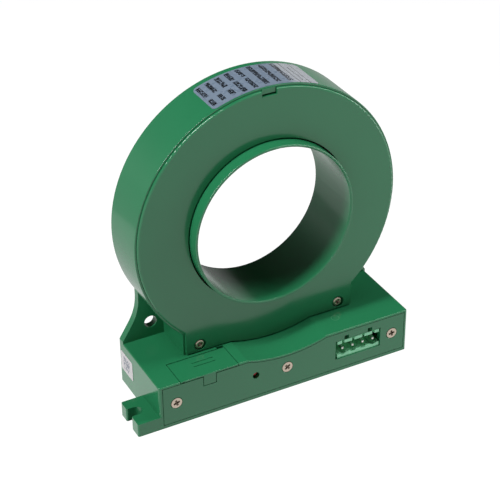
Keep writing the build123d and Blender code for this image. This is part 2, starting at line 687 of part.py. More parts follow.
def terminal_header():
    """Pluggable socket with open ends, slots over the pins and grooves under them."""
    half = HEADER_WIDTH / 2
    top = BOARD_TOP + HEADER_HEIGHT
    ceiling = top - HEADER_TOP_WALL
    back = HEADER_BACK - HEADER_BACK_WALL
    body = block(SOCKET_X - half, SOCKET_X + half, HEADER_FRONT, HEADER_BACK, BOARD_TOP, top)
    body -= block(SOCKET_X - half - 1, SOCKET_X + half + 1, HEADER_FRONT - 1, back,
                  BOARD_TOP + HEADER_RIDGE, ceiling)
    for x in pin_x():
        body -= block(x - HEADER_SLOT / 2, x + HEADER_SLOT / 2, HEADER_FRONT - 1,
                      HEADER_FRONT + HEADER_SLOT_DEPTH, ceiling - 1, top + 1)
        body -= rod_y(HEADER_GROOVE_RADIUS, x, BOARD_TOP + HEADER_FLOOR + HEADER_GROOVE_RADIUS,
                      HEADER_FRONT - 1, back)
        half_pin = PIN_SIZE / 2
        body -= block(x - half_pin, x + half_pin, back - 1, HEADER_BACK + 1,
                      PIN_Z - half_pin, PIN_Z + half_pin)
    return body


def terminal_pins():
    """Square pins, bent down through the board behind the socket."""
    pins = []
    half = PIN_SIZE / 2
    back = HEADER_BACK
    for x in pin_x():
        front = HEADER_FRONT + PIN_RECESS
        pin = block(x - half, x + half, front, back + PIN_SIZE, PIN_Z - half, PIN_Z + half)
        pin = chamfer(pin.faces().sort_by(Axis.Y)[0].edges(), PIN_SIZE / 4)
        pin += block(x - half, x + half, back, back + PIN_SIZE, BOARD_TOP, PIN_Z)
        pins.append(pin)
    return pins


def led_holder():
    """Block that holds the indicator at the height of its window."""
    back = PANEL_BACK + LED_SETBACK
    half = LED_HOLDER_WIDTH / 2
    return block(LED_X - half, LED_X + half, back, back + LED_HOLDER_DEPTH, BOARD_TOP, LED_HEIGHT + half)


def status_led():
    """Indicator lamp behind the window of the panel."""
    radius = LED_WINDOW_RADIUS - LED_SIDE_GAP
    back = PANEL_BACK + LED_SETBACK
    tip = FRONT + LED_TIP_SETBACK
    lamp = rod_y(radius, LED_X, LED_HEIGHT, tip, back)
    crown = lamp.edges().filter_by(GeomType.CIRCLE).sort_by(Axis.Y)[0]
    lamp = fillet(crown, radius * 0.9)
    return lamp + rod_y(radius + LED_RIM, LED_X, LED_HEIGHT, back - LED_RIM_LENGTH, back)


def coil_ring(step, front, back):
    """Ring of the coil's section, stepped in from its outer and inner faces."""
    return hollow_ring(COIL_OUTER - step, COIL_INNER + step, front, back)


def coil_shell(step, thickness, front, back):
    """Closed skin round the coil's section."""
    inner = coil_ring(step + thickness, front + thickness, back - thickness)
    return coil_ring(step, front, back) - inner


def coil_parts():
    """Nested coil: foam, tape, winding, case and core."""
    front = COVER_BACK + FOAM_THICKNESS
    back = INNER_BACK - FOAM_THICKNESS
    foam = [coil_ring(0, COVER_BACK, front), coil_ring(0, back, INNER_BACK)]
    tape = coil_shell(0, TAPE_THICKNESS, front, back)
    wind_step = TAPE_THICKNESS + NEST_GAP
    wind_front = front + TAPE_THICKNESS
    wind_back = back - TAPE_THICKNESS
    winding = coil_shell(wind_step, WINDING_THICKNESS, wind_front, wind_back)
    case_step = wind_step + WINDING_THICKNESS + NEST_GAP
    case_front = wind_front + WINDING_THICKNESS
    case_back = wind_back - WINDING_THICKNESS
    lid = coil_ring(case_step, case_front, case_front + CASE_WALL)
    cup = coil_ring(case_step, case_front + CASE_WALL, case_back)
    cup -= coil_ring(case_step + CASE_WALL, case_front, case_back - CASE_WALL)
    core = coil_ring(case_step + CASE_WALL + NEST_GAP, case_front + CASE_WALL, case_back - CASE_WALL)
    return {"foam_rings": foam, "winding_tape": tape, "secondary_winding": winding,
            "core_case_lid": lid, "core_case": cup, "toroid_core": core}


def lead_x():
    return [(i - (LEAD_COUNT - 1) / 2) * LEAD_PITCH for i in range(LEAD_COUNT)]


def coil_leads():
    """Wires from the coil down to their socket on the board."""
    leads = []
    for x in lead_x():
        top = RING_HEIGHT - sqrt(COIL_OUTER ** 2 - x ** 2) - NEST_GAP / 2
        leads.append(rod_z(LEAD_RADIUS, x, LEAD_Y, BOARD_TOP + LEAD_SOCKET_HEIGHT, top))
    return leads


def lead_socket():
    """Socket on the board for the coil wires."""
    half = LEAD_COUNT * LEAD_PITCH / 2 + LEAD_SOCKET_WALL
    depth = LEAD_SOCKET_DEPTH / 2
    body = block(-half, half, LEAD_Y - depth, LEAD_Y + depth, BOARD_TOP, BOARD_TOP + LEAD_SOCKET_HEIGHT)
    return fillet(body.edges().filter_by(Axis.Z), LEAD_SOCKET_CORNER)


def service_header():
    """Pin header under the access door."""
    half = SERVICE_COUNT * SERVICE_PITCH / 2
    depth = SERVICE_DEPTH / 2
    return block(DOOR_X - half, DOOR_X + half, SERVICE_Y - depth, SERVICE_Y + depth, BOARD_TOP,
                 BOARD_TOP + SERVICE_HEIGHT)


def service_pins():
    """Contacts of the service header."""
    pins = []
    half = SERVICE_PIN_SIZE / 2
    for i in range(SERVICE_COUNT):
        x = DOOR_X + (i - (SERVICE_COUNT - 1) / 2) * SERVICE_PITCH
        pins.append(block(x - half, x + half, SERVICE_Y - half, SERVICE_Y + half,
                          BOARD_TOP + SERVICE_HEIGHT, BOARD_TOP + SERVICE_PIN_HEIGHT))
    return pins


def board_block(x, y, length, width, height):
    """Box that stands on the circuit board."""
    return block(x - length / 2, x + length / 2, y - width / 2, y + width / 2, BOARD_TOP, BOARD_TOP + height)


def leaded_chip(x, y, length, width, height, count, pitch):
    """Moulded chip with a row of legs along each long side."""
    body = block(x - length / 2, x + length / 2, y - width / 2, y + width / 2,
                 BOARD_TOP + CHIP_STANDOFF, BOARD_TOP + height)
    legs = []
    span = CHIP_LEG_REACH + CHIP_LEG_ROOT
    for i in range(count):
        leg_x = x + (i - (count - 1) / 2) * pitch
        for side in (-1, 1):
            leg_y = y + side * (width / 2 - CHIP_LEG_ROOT + span / 2)
            legs.append(board_block(leg_x, leg_y, pitch * CHIP_LEG_SHARE, span, CHIP_LEG_THICKNESS))
    return body + legs


def microcontroller():
    y = BOARD_MIDDLE + MICRO_SHIFT
    return leaded_chip(MICRO_X, y, MICRO_LENGTH, MICRO_WIDTH, MICRO_HEIGHT, MICRO_LEG_COUNT, MICRO_LEG_PITCH)


def bus_transceiver():
    y = BOARD_FRONT + BUS_FRONT_GAP
    return leaded_chip(BUS_X, y, BUS_LENGTH, BUS_WIDTH, BUS_HEIGHT, BUS_LEG_COUNT, BUS_LEG_PITCH)


def dc_converter():
    """Potted supply module."""
    body = board_block(CONVERTER_X, HEADER_BACK + CONVERTER_GAP + CONVERTER_WIDTH / 2,
                       CONVERTER_LENGTH, CONVERTER_WIDTH, CONVERTER_HEIGHT)
    return fillet(body.edges().filter_by(Axis.Z), CONVERTER_CORNER)


def electrolytics():
    """Two upright capacitors with rolled tops."""
    cans = []
    for row in (0, 1):
        y = HEADER_BACK + CAN_GAP + row * CAN_PITCH
        can = rod_z(CAN_RADIUS, CAN_X, y, BOARD_TOP, BOARD_TOP + CAN_HEIGHT)
        cans.append(fillet(can.edges().filter_by(GeomType.CIRCLE).sort_by(Axis.Z)[-1], CAN_ROLL_RADIUS))
    return cans


def power_choke():
    """Drum choke beside the supply module."""
    y = HEADER_BACK + CHOKE_GAP
    spool = rod_z(CHOKE_RADIUS, CHOKE_X, y, BOARD_TOP, BOARD_TOP + CHOKE_HEIGHT)
    low = BOARD_TOP + CHOKE_FLANGE
    high = BOARD_TOP + CHOKE_HEIGHT - CHOKE_FLANGE
    groove = rod_z(CHOKE_RADIUS + 1, CHOKE_X, y, low, high) - rod_z(CHOKE_CORE_RADIUS, CHOKE_X, y, low, high)
    return spool - groove


def crystal():
    """Low metal can of the clock."""
    can = board_block(CRYSTAL_X, BOARD_MIDDLE + CRYSTAL_SHIFT, CRYSTAL_WIDTH, CRYSTAL_LENGTH, CRYSTAL_HEIGHT)
    return fillet(can.edges().filter_by(Axis.Z), CRYSTAL_CORNER)


def chip_parts():
    """Small resistors and capacitors in two rows."""
    chips = []
    rows = (BOARD_FRONT + CHIP_FRONT_GAP, BOARD_REAR - CHIP_REAR_GAP)
    for i in range(CHIP_COUNT):
        for row, y in enumerate(rows):
            x = CHIP_X + i * CHIP_PITCH + row * CHIP_STAGGER
            chips.append(board_block(x, y, CHIP_LENGTH, CHIP_WIDTH, CHIP_HEIGHT))
    return chips


def rim_label():
    """Label over the crown of the ring."""
    chord = 2 * RING_RADIUS * sin(radians(RIM_LABEL_ARC / 2))
    low = RING_HEIGHT + RING_RADIUS * cos(radians(RIM_LABEL_ARC / 2)) - 2.0
    front = RING_FRONT + RIM_LABEL_SETBACK
    outline = RectangleRounded(chord, RIM_LABEL_WIDTH, RIM_LABEL_CORNER)
    column = Pos(0, front + RIM_LABEL_WIDTH / 2, low) * extrude(outline, amount=RING_RADIUS)
    skin = hollow_ring(RING_RADIUS + LABEL_THICKNESS, RING_RADIUS, front - 1, front + RIM_LABEL_WIDTH + 1)
    return skin & column


def side_label():
    """Small label on the left end of the base."""
    outline = RectangleRounded(SIDE_LABEL_LENGTH, SIDE_LABEL_HEIGHT, SIDE_LABEL_CORNER)
    skin = extrude(Plane.YZ * outline, amount=LABEL_THICKNESS)
    return Pos(-HALF - LABEL_THICKNESS, BACK - SIDE_LABEL_SETBACK, SIDE_LABEL_Z) * skin


def save(name, shape):
    """Write one node; a list becomes one group of separate solids."""
    solids = shape if isinstance(shape, list) else [shape]
    solids = [s for item in solids for s in item.solids()]
    node = solids[0] if len(solids) == 1 else Compound(children=solids)
    export_step(node, f"parts/{name}.step")


def main():
    nodes = {
        "housing": housing(),
        "ring_cover": ring_cover(),
        "front_panel": front_panel(),
        "access_door": access_door(),
        "rim_label": rim_label(),
        "side_label": side_label(),
        "terminal_header": terminal_header(),
        "terminal_pins": terminal_pins(),
        "status_led": status_led(),
        "led_holder": led_holder(),
        "panel_screws": panel_screws(),
        "cover_screws": cover_screws(),
        "circuit_board": circuit_board(),
        "board_screws": board_screws(),
        "service_header": service_header(),
        "service_pins": service_pins(),
        "coil_leads": coil_leads(),
        "lead_socket": lead_socket(),
        "microcontroller": microcontroller(),
        "bus_transceiver": bus_transceiver(),
        "dc_converter": dc_converter(),
        "electrolytics": electrolytics(),
        "power_choke": power_choke(),
        "crystal": crystal(),
        "chip_parts": chip_parts(),
    }
    nodes.update(coil_parts())
    for name, shape in nodes.items():
        save(name, shape)


main()
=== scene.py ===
"""Finishes, screws, printed labels and a studio for the leakage current sensor."""

import math

import bmesh
import bpy
from mathutils import Matrix, Vector


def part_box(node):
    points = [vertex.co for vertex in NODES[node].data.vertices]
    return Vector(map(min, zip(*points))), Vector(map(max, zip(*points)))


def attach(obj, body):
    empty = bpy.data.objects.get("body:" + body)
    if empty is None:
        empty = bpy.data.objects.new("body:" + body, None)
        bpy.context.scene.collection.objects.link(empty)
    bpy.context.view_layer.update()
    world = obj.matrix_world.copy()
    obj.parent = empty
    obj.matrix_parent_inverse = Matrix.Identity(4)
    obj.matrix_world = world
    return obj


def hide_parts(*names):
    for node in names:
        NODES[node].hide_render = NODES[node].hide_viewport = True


bl_info = {
    "name": "Leakage Current Sensor",
    "version": (1, 0, 0),
    "blender": (4, 5, 0),
    "location": "3D View > Sidebar > Sensor",
    "description": "Dresses the sensor's solids with finishes, screws, labels and a studio",
    "category": "Object",
}

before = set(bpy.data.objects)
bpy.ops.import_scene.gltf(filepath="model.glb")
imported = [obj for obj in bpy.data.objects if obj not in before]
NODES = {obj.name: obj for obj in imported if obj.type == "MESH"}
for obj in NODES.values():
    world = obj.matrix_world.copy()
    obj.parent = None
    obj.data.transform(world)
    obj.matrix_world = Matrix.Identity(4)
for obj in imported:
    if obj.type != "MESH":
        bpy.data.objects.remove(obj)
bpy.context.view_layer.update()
MM = 0.001

# Places read from the solids, in metres
_, HOUSING_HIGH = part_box("housing")
RIM_LOW, RIM_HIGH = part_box("rim_label")
SIDE_LOW, SIDE_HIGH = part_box("side_label")
TAPE_LOW, TAPE_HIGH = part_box("winding_tape")
RING_AXIS_Z = (TAPE_LOW.z + TAPE_HIGH.z) / 2
RING_RADIUS = RIM_HIGH.z - RING_AXIS_Z
BASE_END = -SIDE_HIGH.x

# Ejector mark on the deck, in millimetres
EJECTOR_X = 29.0
EJECTOR_Y = -9.9
EJECTOR_RADIUS = 1.75
EJECTOR_LINE = 0.12
EJECTOR_COVER = 0.16
DECK_LEVELS = (20.0, 22.0)

# Rim label round the ring, in degrees from the crown, positive to the right
RIM_ROWS = (-21.2, -17.2, -12.95, -8.6, -4.1, 0.9, 5.85, 11.0)
RIM_RULES = (14.3, 18.8)
RIM_SHORT_RULE = 16.5
RIM_SPAN = 60
# Painted reflection that makes the rim label's right end paler: where it starts and where it is
# full
REFLECTION_FROM = 9.5
REFLECTION_TO = 13.5
LONG_ROWS_FROM = -10.7
FULL_ROWS_FROM = -1.5

# Rim label across the rim, in shares of its width from its front edge
SHORT_ROW_WORDS = ((0.5, 0.94), (0.12, 0.37))
LONG_ROW_WORDS = ((0.62, 0.96), (0.06, 0.54))
FULL_ROW = (0.1, 0.97)
SHORT_RULE = (0.12, 0.8)

# Blocks that fill a bar: how many go to a dash pitch, its printed share, and the blank blocks
BLOCKS_ACROSS = 2.6
BLOCKS_ALONG = 2
DASH_SHARE = 0.86
BLANK_SHARE = 0.16

# Field of blocks on the side label, in shares of its height and of its blocks
FIELD_SHARE = 0.68
FIELD_BLANKS = 0.45

# Coil and board patterns
WINDING_TURNS = 260
# Share of each turn that is gap, and how far painted shadow darkens it
WIRE_GAP = 0.18
GAP_SHADOW_COVER = 0.6
TAPE_LAPS = 36
STRIP_THICKNESS = 0.25
TRACE_CELL = 3.2
TRACE_WIDTH = 0.07
TRACE_COVER = 0.8

# Range in which nearly all values of soft noise lie
NOISE_RANGE = (0.3, 0.7)

# Screws in their seats: the turn of the front row, and the twist of each recess in degrees
FACES_FRONT = Matrix.Rotation(math.pi / 2, 4, "X")
PANEL_TWISTS = (18, 38, 10)
COVER_TWISTS = (30, 62)
BOARD_TWISTS = (12, 71, 40, 25)

# Body and thread of a screw
HEAD_VERTICES = 64
TIP_LENGTH = 1.6  # in radii of the shank
TIP_RADIUS = 0.2  # in radii of the shank
COUNTERSUNK_EDGE = 0.12 * MM
COUNTERSUNK_SEGMENTS = 2
PAN_ROUNDING = 0.6  # in heights of the head
PAN_SEGMENTS = 6
THREAD_STEPS = 20
THREAD_START = 0.2 * MM  # below the head
WELD = 0.00001 * MM
LEVEL_SLACK = 0.001 * MM
EDGE_SHARE = 0.99  # of the head's radius
LOOKS_DOWN = -0.9  # upward lean below which a face looks down
SMOOTH_ANGLE = math.radians(32)

# Driver recess
CUTTER_RISE = 0.3 * MM  # of the cutter over the head
BLADE_FLOOR = (0.34, 0.7, 1)  # size of a blade's floor against its top
RECESS_SLACK = 1.01  # its faces are looked for in a space that much larger
# Below that share the walls of the recess take the darker finish of painted shade
RECESS_TOP = 0.2  # share of its depth that keeps the plating of the head
INWARD_LIMIT = 0.3  # outward lean up to which a face is a wall of the recess
UNDERSIDE = -0.5  # a face that looks further down is the head's underside

# Camera and lamps: the film's width in millimetres, and directions from the base
FILM_WIDTH = 36
KEY_DIRECTION = (-0.63, -0.05, 0.77)
FILL_DIRECTION = (0.68, -0.18, 0.7)

# Floor: its edge in metres, its matt colour, and its glow to the camera, in gloss and in bounce
FLOOR_SIZE = 8.0
FLOOR_MATT = (0.86, 0.86, 0.86, 1)
WHITE_GLOW = 1.12
FRONT_GLOW = 1.0
BACK_GLOW = 0.68
FAR_GLOW = 0.42
# UNDER_GLOW is the dark glow of the floor under the base in the gloss: painted shadow
UNDER_GLOW = 0.04
FADE_PLACES = (20 * MM, 80 * MM)
BOUNCE_PLACES = (-300 * MM, 200 * MM)
BOUNCE_GLOW = (0.6, 1.2)
EAR_FROM = 2 * MM  # from the middle of the base's end

# Room in the gloss: brightness of its two sides by height, and of its front
LEFT_SHINE = ((0.0, 0.5), (0.1, 0.48), (0.39, 0.22), (0.6, 0.12))
RIGHT_SHINE = ((0.0, 0.5), (0.26, 0.27), (0.32, 0.04), (0.6, 0.03))
SIDE_BLEND = 1.6
FRONT_SHINE = 0.6
FRONT_FROM = -0.2


def tint(red, green, blue):
    """Linear colour of an eight-bit display colour."""

    def channel(value):
        share = value / 255
        return share / 12.92 if share <= 0.04045 else ((share + 0.055) / 1.055) ** 2.4

    return channel(red), channel(green), channel(blue)


def colour_field(name, description, value):
    """Setting for a colour, from an eight-bit display colour."""
    return bpy.props.FloatVectorProperty(
        name=name, description=description, subtype="COLOR", size=3, min=0, max=1,
        default=tint(*value))


def length_field(name, description, millimetres):
    """Setting for a length."""
    return bpy.props.FloatProperty(
        name=name, description=description, unit="LENGTH", default=millimetres * MM)


def angle_field(name, description, degrees):
    """Setting for an angle."""
    return bpy.props.FloatProperty(
        name=name, description=description, subtype="ANGLE", default=math.radians(degrees))


def power_field(name, description, watts):
    """Setting for the power of a lamp."""
    return bpy.props.FloatProperty(
        name=name, description=description, unit="POWER", default=watts)


def share_field(name, description, value):
    """Setting for a share between nought and one."""
    return bpy.props.FloatProperty(
        name=name, description=description, subtype="FACTOR", min=0, max=1, default=value)


class SensorColours(bpy.types.PropertyGroup):
    """Colours of the sensor's finishes."""

    case: colour_field("Case", "Green of the moulded case", (37, 121, 79))
    ejector_mark: colour_field("Ejector mark", "Pale ring on the deck", (150, 205, 170))
    header: colour_field("Header", "Mint green of the terminal header", (146, 226, 180))
    label: colour_field("Rim label", "Grey of the printed film", (118, 133, 151))
    # Painted reflection: paler grey over the rim label's right end
    painted_label_reflection: colour_field("Rim label's end", "Paler grey of its right end", (166, 171, 178))
    white_label: colour_field("Side label", "White of the small label", (208, 205, 207))
    ink: colour_field("Ink", "Print on the rim label", (10, 11, 14))
    pale_ink: colour_field("Pale ink", "Print on the side label", (128, 134, 146))
    nickel: colour_field("Nickel", "Plating of the screws", (188, 174, 158))
    # Darker plating inside a driver recess, as painted shade
    recess: colour_field("Driver recess", "Dull plating inside a recess", (130, 118, 104))
    tin: colour_field("Tin", "Plating of the contacts", (205, 205, 200))
    lamp: colour_field("Lamp", "Unlit resin of the indicator", (176, 34, 40))
    black: colour_field("Black", "Black mouldings on the board", (26, 26, 28))
    laminate: colour_field("Laminate", "Resist of the circuit board", (18, 86, 44))
    trace: colour_field("Traces", "Resist over the board's copper", (34, 118, 62))
    white: colour_field("White", "White mouldings", (222, 220, 210))
    sleeve: colour_field("Sleeve", "Insulation of the coil wires", (196, 190, 176))
    copper: colour_field("Copper", "Enamelled wire of the winding", (178, 96, 48))
    wire_gap_shadow: colour_field("Wire gap", "Shadow between two turns of wire", (70, 32, 14))
    tape: colour_field("Tape", "Film round the winding", (196, 132, 40))
    core: colour_field("Core", "Wound strip of the core", (142, 146, 152))
    foam: colour_field("Foam", "Foam rings beside the coil", (66, 66, 70))
    can: colour_field("Can", "Drawn metal cans", (190, 192, 196))
    ferrite: colour_field("Ferrite", "Sintered core of the choke", (44, 44, 48))


class ScrewSizes(bpy.types.PropertyGroup):
    """Sizes of the screws that the scene models in full."""

    panel_head: length_field("Panel head radius", "Radius of a countersunk head", 2.5)
    panel_head_depth: length_field("Panel head depth", "Depth of the countersunk cone", 1.3)
    cover_head: length_field("Cover head radius", "Radius of a pan head in the cover", 2.1)
    cover_head_depth: length_field("Cover head height", "Height of that pan head", 1.1)
    board_head: length_field("Board head radius", "Radius of a pan head on the board", 2.1)
    board_head_depth: length_field("Board head height", "Height of that pan head", 1.4)
    shank: length_field("Shank radius", "Radius of the thread's root", 1.15)
    board_shank: length_field("Board shank radius", "Root radius of a board screw", 0.85)
    pitch: length_field("Pitch", "Distance between two turns of the thread", 1.0)
    thread: length_field("Thread height", "How far the thread stands out of the shank", 0.3)
    arm: share_field("Recess arm", "Length of a recess arm against the head radius", 0.7)
    recess_width: length_field("Recess width", "Width of an arm of the driver recess", 1.05)
    recess_depth: length_field("Recess depth", "Depth of the driver recess", 1.0)


class LabelSizes(bpy.types.PropertyGroup):
    """Layout of the plain bars on the labels."""

    rim_row: angle_field("Row height", "Height of a row of bars along the rim", 2.05)
    rim_line: angle_field("Rule width", "Width of a ruled line along the rim", 0.3)
    dash: length_field("Dash pitch", "Distance between two dashes of a bar", 1.05)
    side_cell: length_field("Block size", "Size of a block on the side label", 0.62)


class StudioSettings(bpy.types.PropertyGroup):
    """Camera, lamps, floor and surround."""

    camera_x: length_field("Camera X", "Camera place along the base", -258.11)
    camera_y: length_field("Camera Y", "Camera place in front of the base", -482.54)
    camera_z: length_field("Camera Z", "Camera height over the floor", 404.53)
    heading: angle_field("Heading", "Turn of the view from straight ahead to the right", 27.477)
    dip: angle_field("Dip", "How far the camera looks down", 32.252)
    roll: angle_field("Roll", "Turn of the camera about its view", -0.625)
    lens: bpy.props.FloatProperty(
        name="Lens", description=f"Focal length over a film {FILM_WIDTH} mm wide", unit="CAMERA",
        default=111.258)
    key_power: power_field("Key power", "Power of the soft lamp high on the left", 5.55)
    fill_power: power_field("Fill power", "Power of the soft lamp high on the right", 1.0)
    lamp_width: length_field("Lamp width", "Size of a lamp along the base", 600.0)
    lamp_depth: length_field("Lamp depth", "Size of a lamp from front to back", 90.0)
    key_reach: length_field("Key distance", "Distance of the left lamp from the base", 800.0)
    fill_reach: length_field("Fill distance", "Distance of the right lamp from the base", 400.0)
    surround: share_field("Surround", "Brightness of the room on the object", 0.015)
    sheet: length_field("Sheet edge", "How far behind the origin the white sheet ends", 199.0)
    floor_glow: share_field("Floor glow", "Share of the floor that is plain white", 0.85)


class Nodes:
    """Adds and links the nodes of one tree."""

    def __init__(self, tree):
        self.tree = tree

    def add(self, kind, **settings):
        """New node with those settings."""
        node = self.tree.nodes.new(kind)
        for key, value in settings.items():
            setattr(node, key, value)
        return node

    def feed(self, socket, value):
        """Link a socket, or write a plain number or colour."""
        if isinstance(value, bpy.types.NodeSocket):
            self.tree.links.new(value, socket)
        else:
            socket.default_value = value

    def sum(self, operation, *values):
        """One arithmetic step on numbers or sockets."""
        node = self.add("ShaderNodeMath", operation=operation)
        for socket, value in zip(node.inputs, values):
            self.feed(socket, value)
        return node.outputs[0]

    def coordinates(self, kind):
        """Coordinates of one kind at the shaded point."""
        return self.add("ShaderNodeTexCoord").outputs[kind]

    def split(self, vector):
        """Sockets X, Y and Z of a vector."""
        node = self.add("ShaderNodeSeparateXYZ")
        self.feed(node.inputs[0], vector)
        return node.outputs

    def steps(self, socket, stops, smooth=False):
        """Value of a number looked up between stops."""
        node = self.add("ShaderNodeValToRGB")
        ramp = node.color_ramp
        ramp.interpolation = "LINEAR" if smooth else "CONSTANT"
        while len(ramp.elements) < len(stops):
            ramp.elements.new(1.0)
        for element, (position, value) in zip(ramp.elements, stops):
            element.position = position
            element.color = (value, value, value, 1)
        self.feed(node.inputs["Fac"], socket)
        return node.outputs["Color"]

    def between(self, socket, places, values):
        """Value that runs from one to another while a number runs between two places."""
        node = self.add("ShaderNodeMapRange")
        self.feed(node.inputs["Value"], socket)
        limits = zip(("From Min", "From Max", "To Min", "To Max"), (*places, *values))
        for name, value in limits:
            node.inputs[name].default_value = value
        return node.outputs["Result"]

    def band(self, socket, low, high):
        """One between two limits, and nought outside."""
        above = self.sum("GREATER_THAN", socket, low)
        below = self.sum("LESS_THAN", socket, high)
        return self.sum("MULTIPLY", above, below)

    def mix(self, mask, first, second):
        """Colour between two, through a mask."""
        node = self.add("ShaderNodeMix", data_type="RGBA")
        self.feed(node.inputs["Factor"], mask)
        for socket, value in ((node.inputs["A"], first), (node.inputs["B"], second)):
            self.feed(socket, (*value, 1) if isinstance(value, tuple) else value)
        return node.outputs["Result"]

    def emit(self, strength):
        """Shader of a white glow."""
        node = self.add("ShaderNodeEmission")
        self.feed(node.inputs["Strength"], strength)
        return node.outputs[0]

    def blend(self, share, first, second):
        """Shader between two, by a share or a mask."""
        node = self.add("ShaderNodeMixShader")
        for socket, value in zip(node.inputs, (share, first, second)):
            self.feed(socket, value)
        return node.outputs[0]

    def rays(self):
        """Masks of the camera's own rays, and of rays that mirror or pass through."""
        path = self.add("ShaderNodeLightPath").outputs
        mirrored = self.sum("MAXIMUM", path["Is Glossy Ray"], path["Is Transmission Ray"])
        return path["Is Camera Ray"], mirrored


class Finish(Nodes):
    """A material in the making, with its pattern coordinates in millimetres."""

    def __init__(self, name, colour, roughness, metallic=0.0, ior=1.5, coat=0.0):
        self.material = bpy.data.materials.new(name)
        self.material.use_nodes = True
        super().__init__(self.material.node_tree)
        self.shader = self.tree.nodes["Principled BSDF"]
        self.colour = tuple(colour)
        self.roughness = roughness
        self.shader.inputs["Base Color"].default_value = (*self.colour, 1)
        self.shader.inputs["Metallic"].default_value = metallic
        self.shader.inputs["IOR"].default_value = ior
        self.shader.inputs["Coat Weight"].default_value = coat
        self.place = self.vector("SCALE", self.coordinates("Object"), scale=1 / MM)
        self.axes = self.split(self.place)
        self.relief = None

    def vector(self, operation, first, second=None, scale=None):
        """One step on vectors."""
        node = self.add("ShaderNodeVectorMath", operation=operation)
        self.feed(node.inputs[0], first)
        if second is not None:
            self.feed(node.inputs[1], second)
        if scale is not None:
            node.inputs["Scale"].default_value = scale
        return node.outputs[0]

    def length(self, first, second):
        """Length of the line across two sides at a right angle."""
        squares = (self.sum("POWER", side, 2.0) for side in (first, second))
        return self.sum("SQRT", self.sum("ADD", *squares))

    def noise(self, size, detail, stretch=(1, 1, 1)):
        """Soft noise with features of that size in millimetres."""
        node = self.add("ShaderNodeTexNoise")
        stretched = stretch != (1, 1, 1)
        place = self.vector("MULTIPLY", self.place, stretch) if stretched else self.place
        self.feed(node.inputs["Vector"], place)
        node.inputs["Scale"].default_value = 1 / size
        node.inputs["Detail"].default_value = detail
        return node.outputs["Fac"]

    def cells(self, size, feature="F1"):
        """Distance to the points or edges of random cells."""
        node = self.add("ShaderNodeTexVoronoi", feature=feature)
        self.feed(node.inputs["Vector"], self.place)
        node.inputs["Scale"].default_value = 1 / size
        return node.outputs["Distance"]

    def paint(self, mask, colour):
        """Lay a colour over what the shader has, through a mask."""
        socket = self.shader.inputs["Base Color"]
        under = socket.links[0].from_socket if socket.is_linked else self.colour
        self.feed(socket, self.mix(mask, under, tuple(colour)))

    def shade(self, pattern, spread):
        """Lighten and darken the colour a little by a pattern."""
        dark = tuple(channel * (1 - spread) for channel in self.colour)
        pale = tuple(min(1.0, channel * (1 + spread)) for channel in self.colour)
        self.feed(self.shader.inputs["Base Color"], self.mix(pattern, dark, pale))

    def gloss(self, pattern, spread):
        """Let the roughness run that far down and up with a pattern."""
        limits = (self.roughness - spread, self.roughness + spread)
        self.feed(self.shader.inputs["Roughness"], self.between(pattern, NOISE_RANGE, limits))

    def bump(self, pattern, height):
        """Relief of that height in millimetres, over any relief before it."""
        node = self.add("ShaderNodeBump")
        node.inputs["Distance"].default_value = height * MM
        self.feed(node.inputs["Height"], pattern)
        if self.relief is not None:
            self.feed(node.inputs["Normal"], self.relief)
        self.relief = node.outputs["Normal"]
        self.feed(self.shader.inputs["Normal"], self.relief)

    def ring_height(self):
        """Height over the ring's axis."""
        return self.sum("SUBTRACT", self.axes["Z"], RING_AXIS_Z / MM)

    def ring_angle(self):
        """Angle round the ring's axis, nought at its crown and positive to the right."""
        return self.sum("ARCTAN2", self.axes["X"], self.ring_height())


def moulded_case(colours):
    """Glossy green moulding with a faint ejector mark on the deck."""
    finish = Finish("moulded_case", colours.case, roughness=0.17, ior=1.53)
    finish.shade(finish.noise(size=22, detail=3), spread=0.05)
    finish.gloss(finish.noise(size=7, detail=3), spread=0.03)
    across = finish.sum("SUBTRACT", finish.axes["X"], EJECTOR_X)
    along = finish.sum("SUBTRACT", finish.axes["Y"], EJECTOR_Y)
    away = finish.length(across, along)
    mark = finish.band(away, EJECTOR_RADIUS - EJECTOR_LINE, EJECTOR_RADIUS + EJECTOR_LINE)
    mark = finish.sum("MULTIPLY", mark, finish.band(finish.axes["Z"], *DECK_LEVELS))
    finish.paint(finish.sum("MULTIPLY", mark, EJECTOR_COVER), colours.ejector_mark)
    finish.bump(finish.noise(size=0.5, detail=2), height=0.006)
    finish.bump(finish.noise(size=9, detail=1), height=0.03)
    return finish.material


def rim_words(finish, along, angle):
    """Where bars stand along each row of the rim label, from its front edge to its back."""
    pairs, longer = (
        finish.sum("MAXIMUM", *(finish.band(along, *span) for span in spans))
        for spans in (SHORT_ROW_WORDS, LONG_ROW_WORDS)
    )
    is_long = finish.sum("GREATER_THAN", angle, math.radians(LONG_ROWS_FROM))
    is_full = finish.sum("GREATER_THAN", angle, math.radians(FULL_ROWS_FROM))
    parted = finish.mix(is_long, pairs, longer)
    return finish.mix(is_full, parted, finish.band(along, *FULL_ROW))


def rim_specks(finish, angle, pitch):
    """Broken blocks that fill a bar."""
    across = finish.axes["Y"]
    around = finish.sum("MULTIPLY", angle, RING_RADIUS / MM)
    cell = finish.add("ShaderNodeCombineXYZ")
    sides = zip(cell.inputs, (across, around), (BLOCKS_ACROSS, BLOCKS_ALONG))
    for socket, side, blocks in sides:
        finish.feed(socket, finish.sum("FLOOR", finish.sum("DIVIDE", side, pitch / blocks)))
    noise = finish.add("ShaderNodeTexWhiteNoise", noise_dimensions="2D")
    finish.feed(noise.inputs["Vector"], cell.outputs[0])
    solid = finish.sum("GREATER_THAN", noise.outputs["Value"], BLANK_SHARE)
    part = finish.sum("FRACT", finish.sum("DIVIDE", across, pitch))
    return finish.sum("MULTIPLY", solid, finish.sum("LESS_THAN", part, DASH_SHARE))


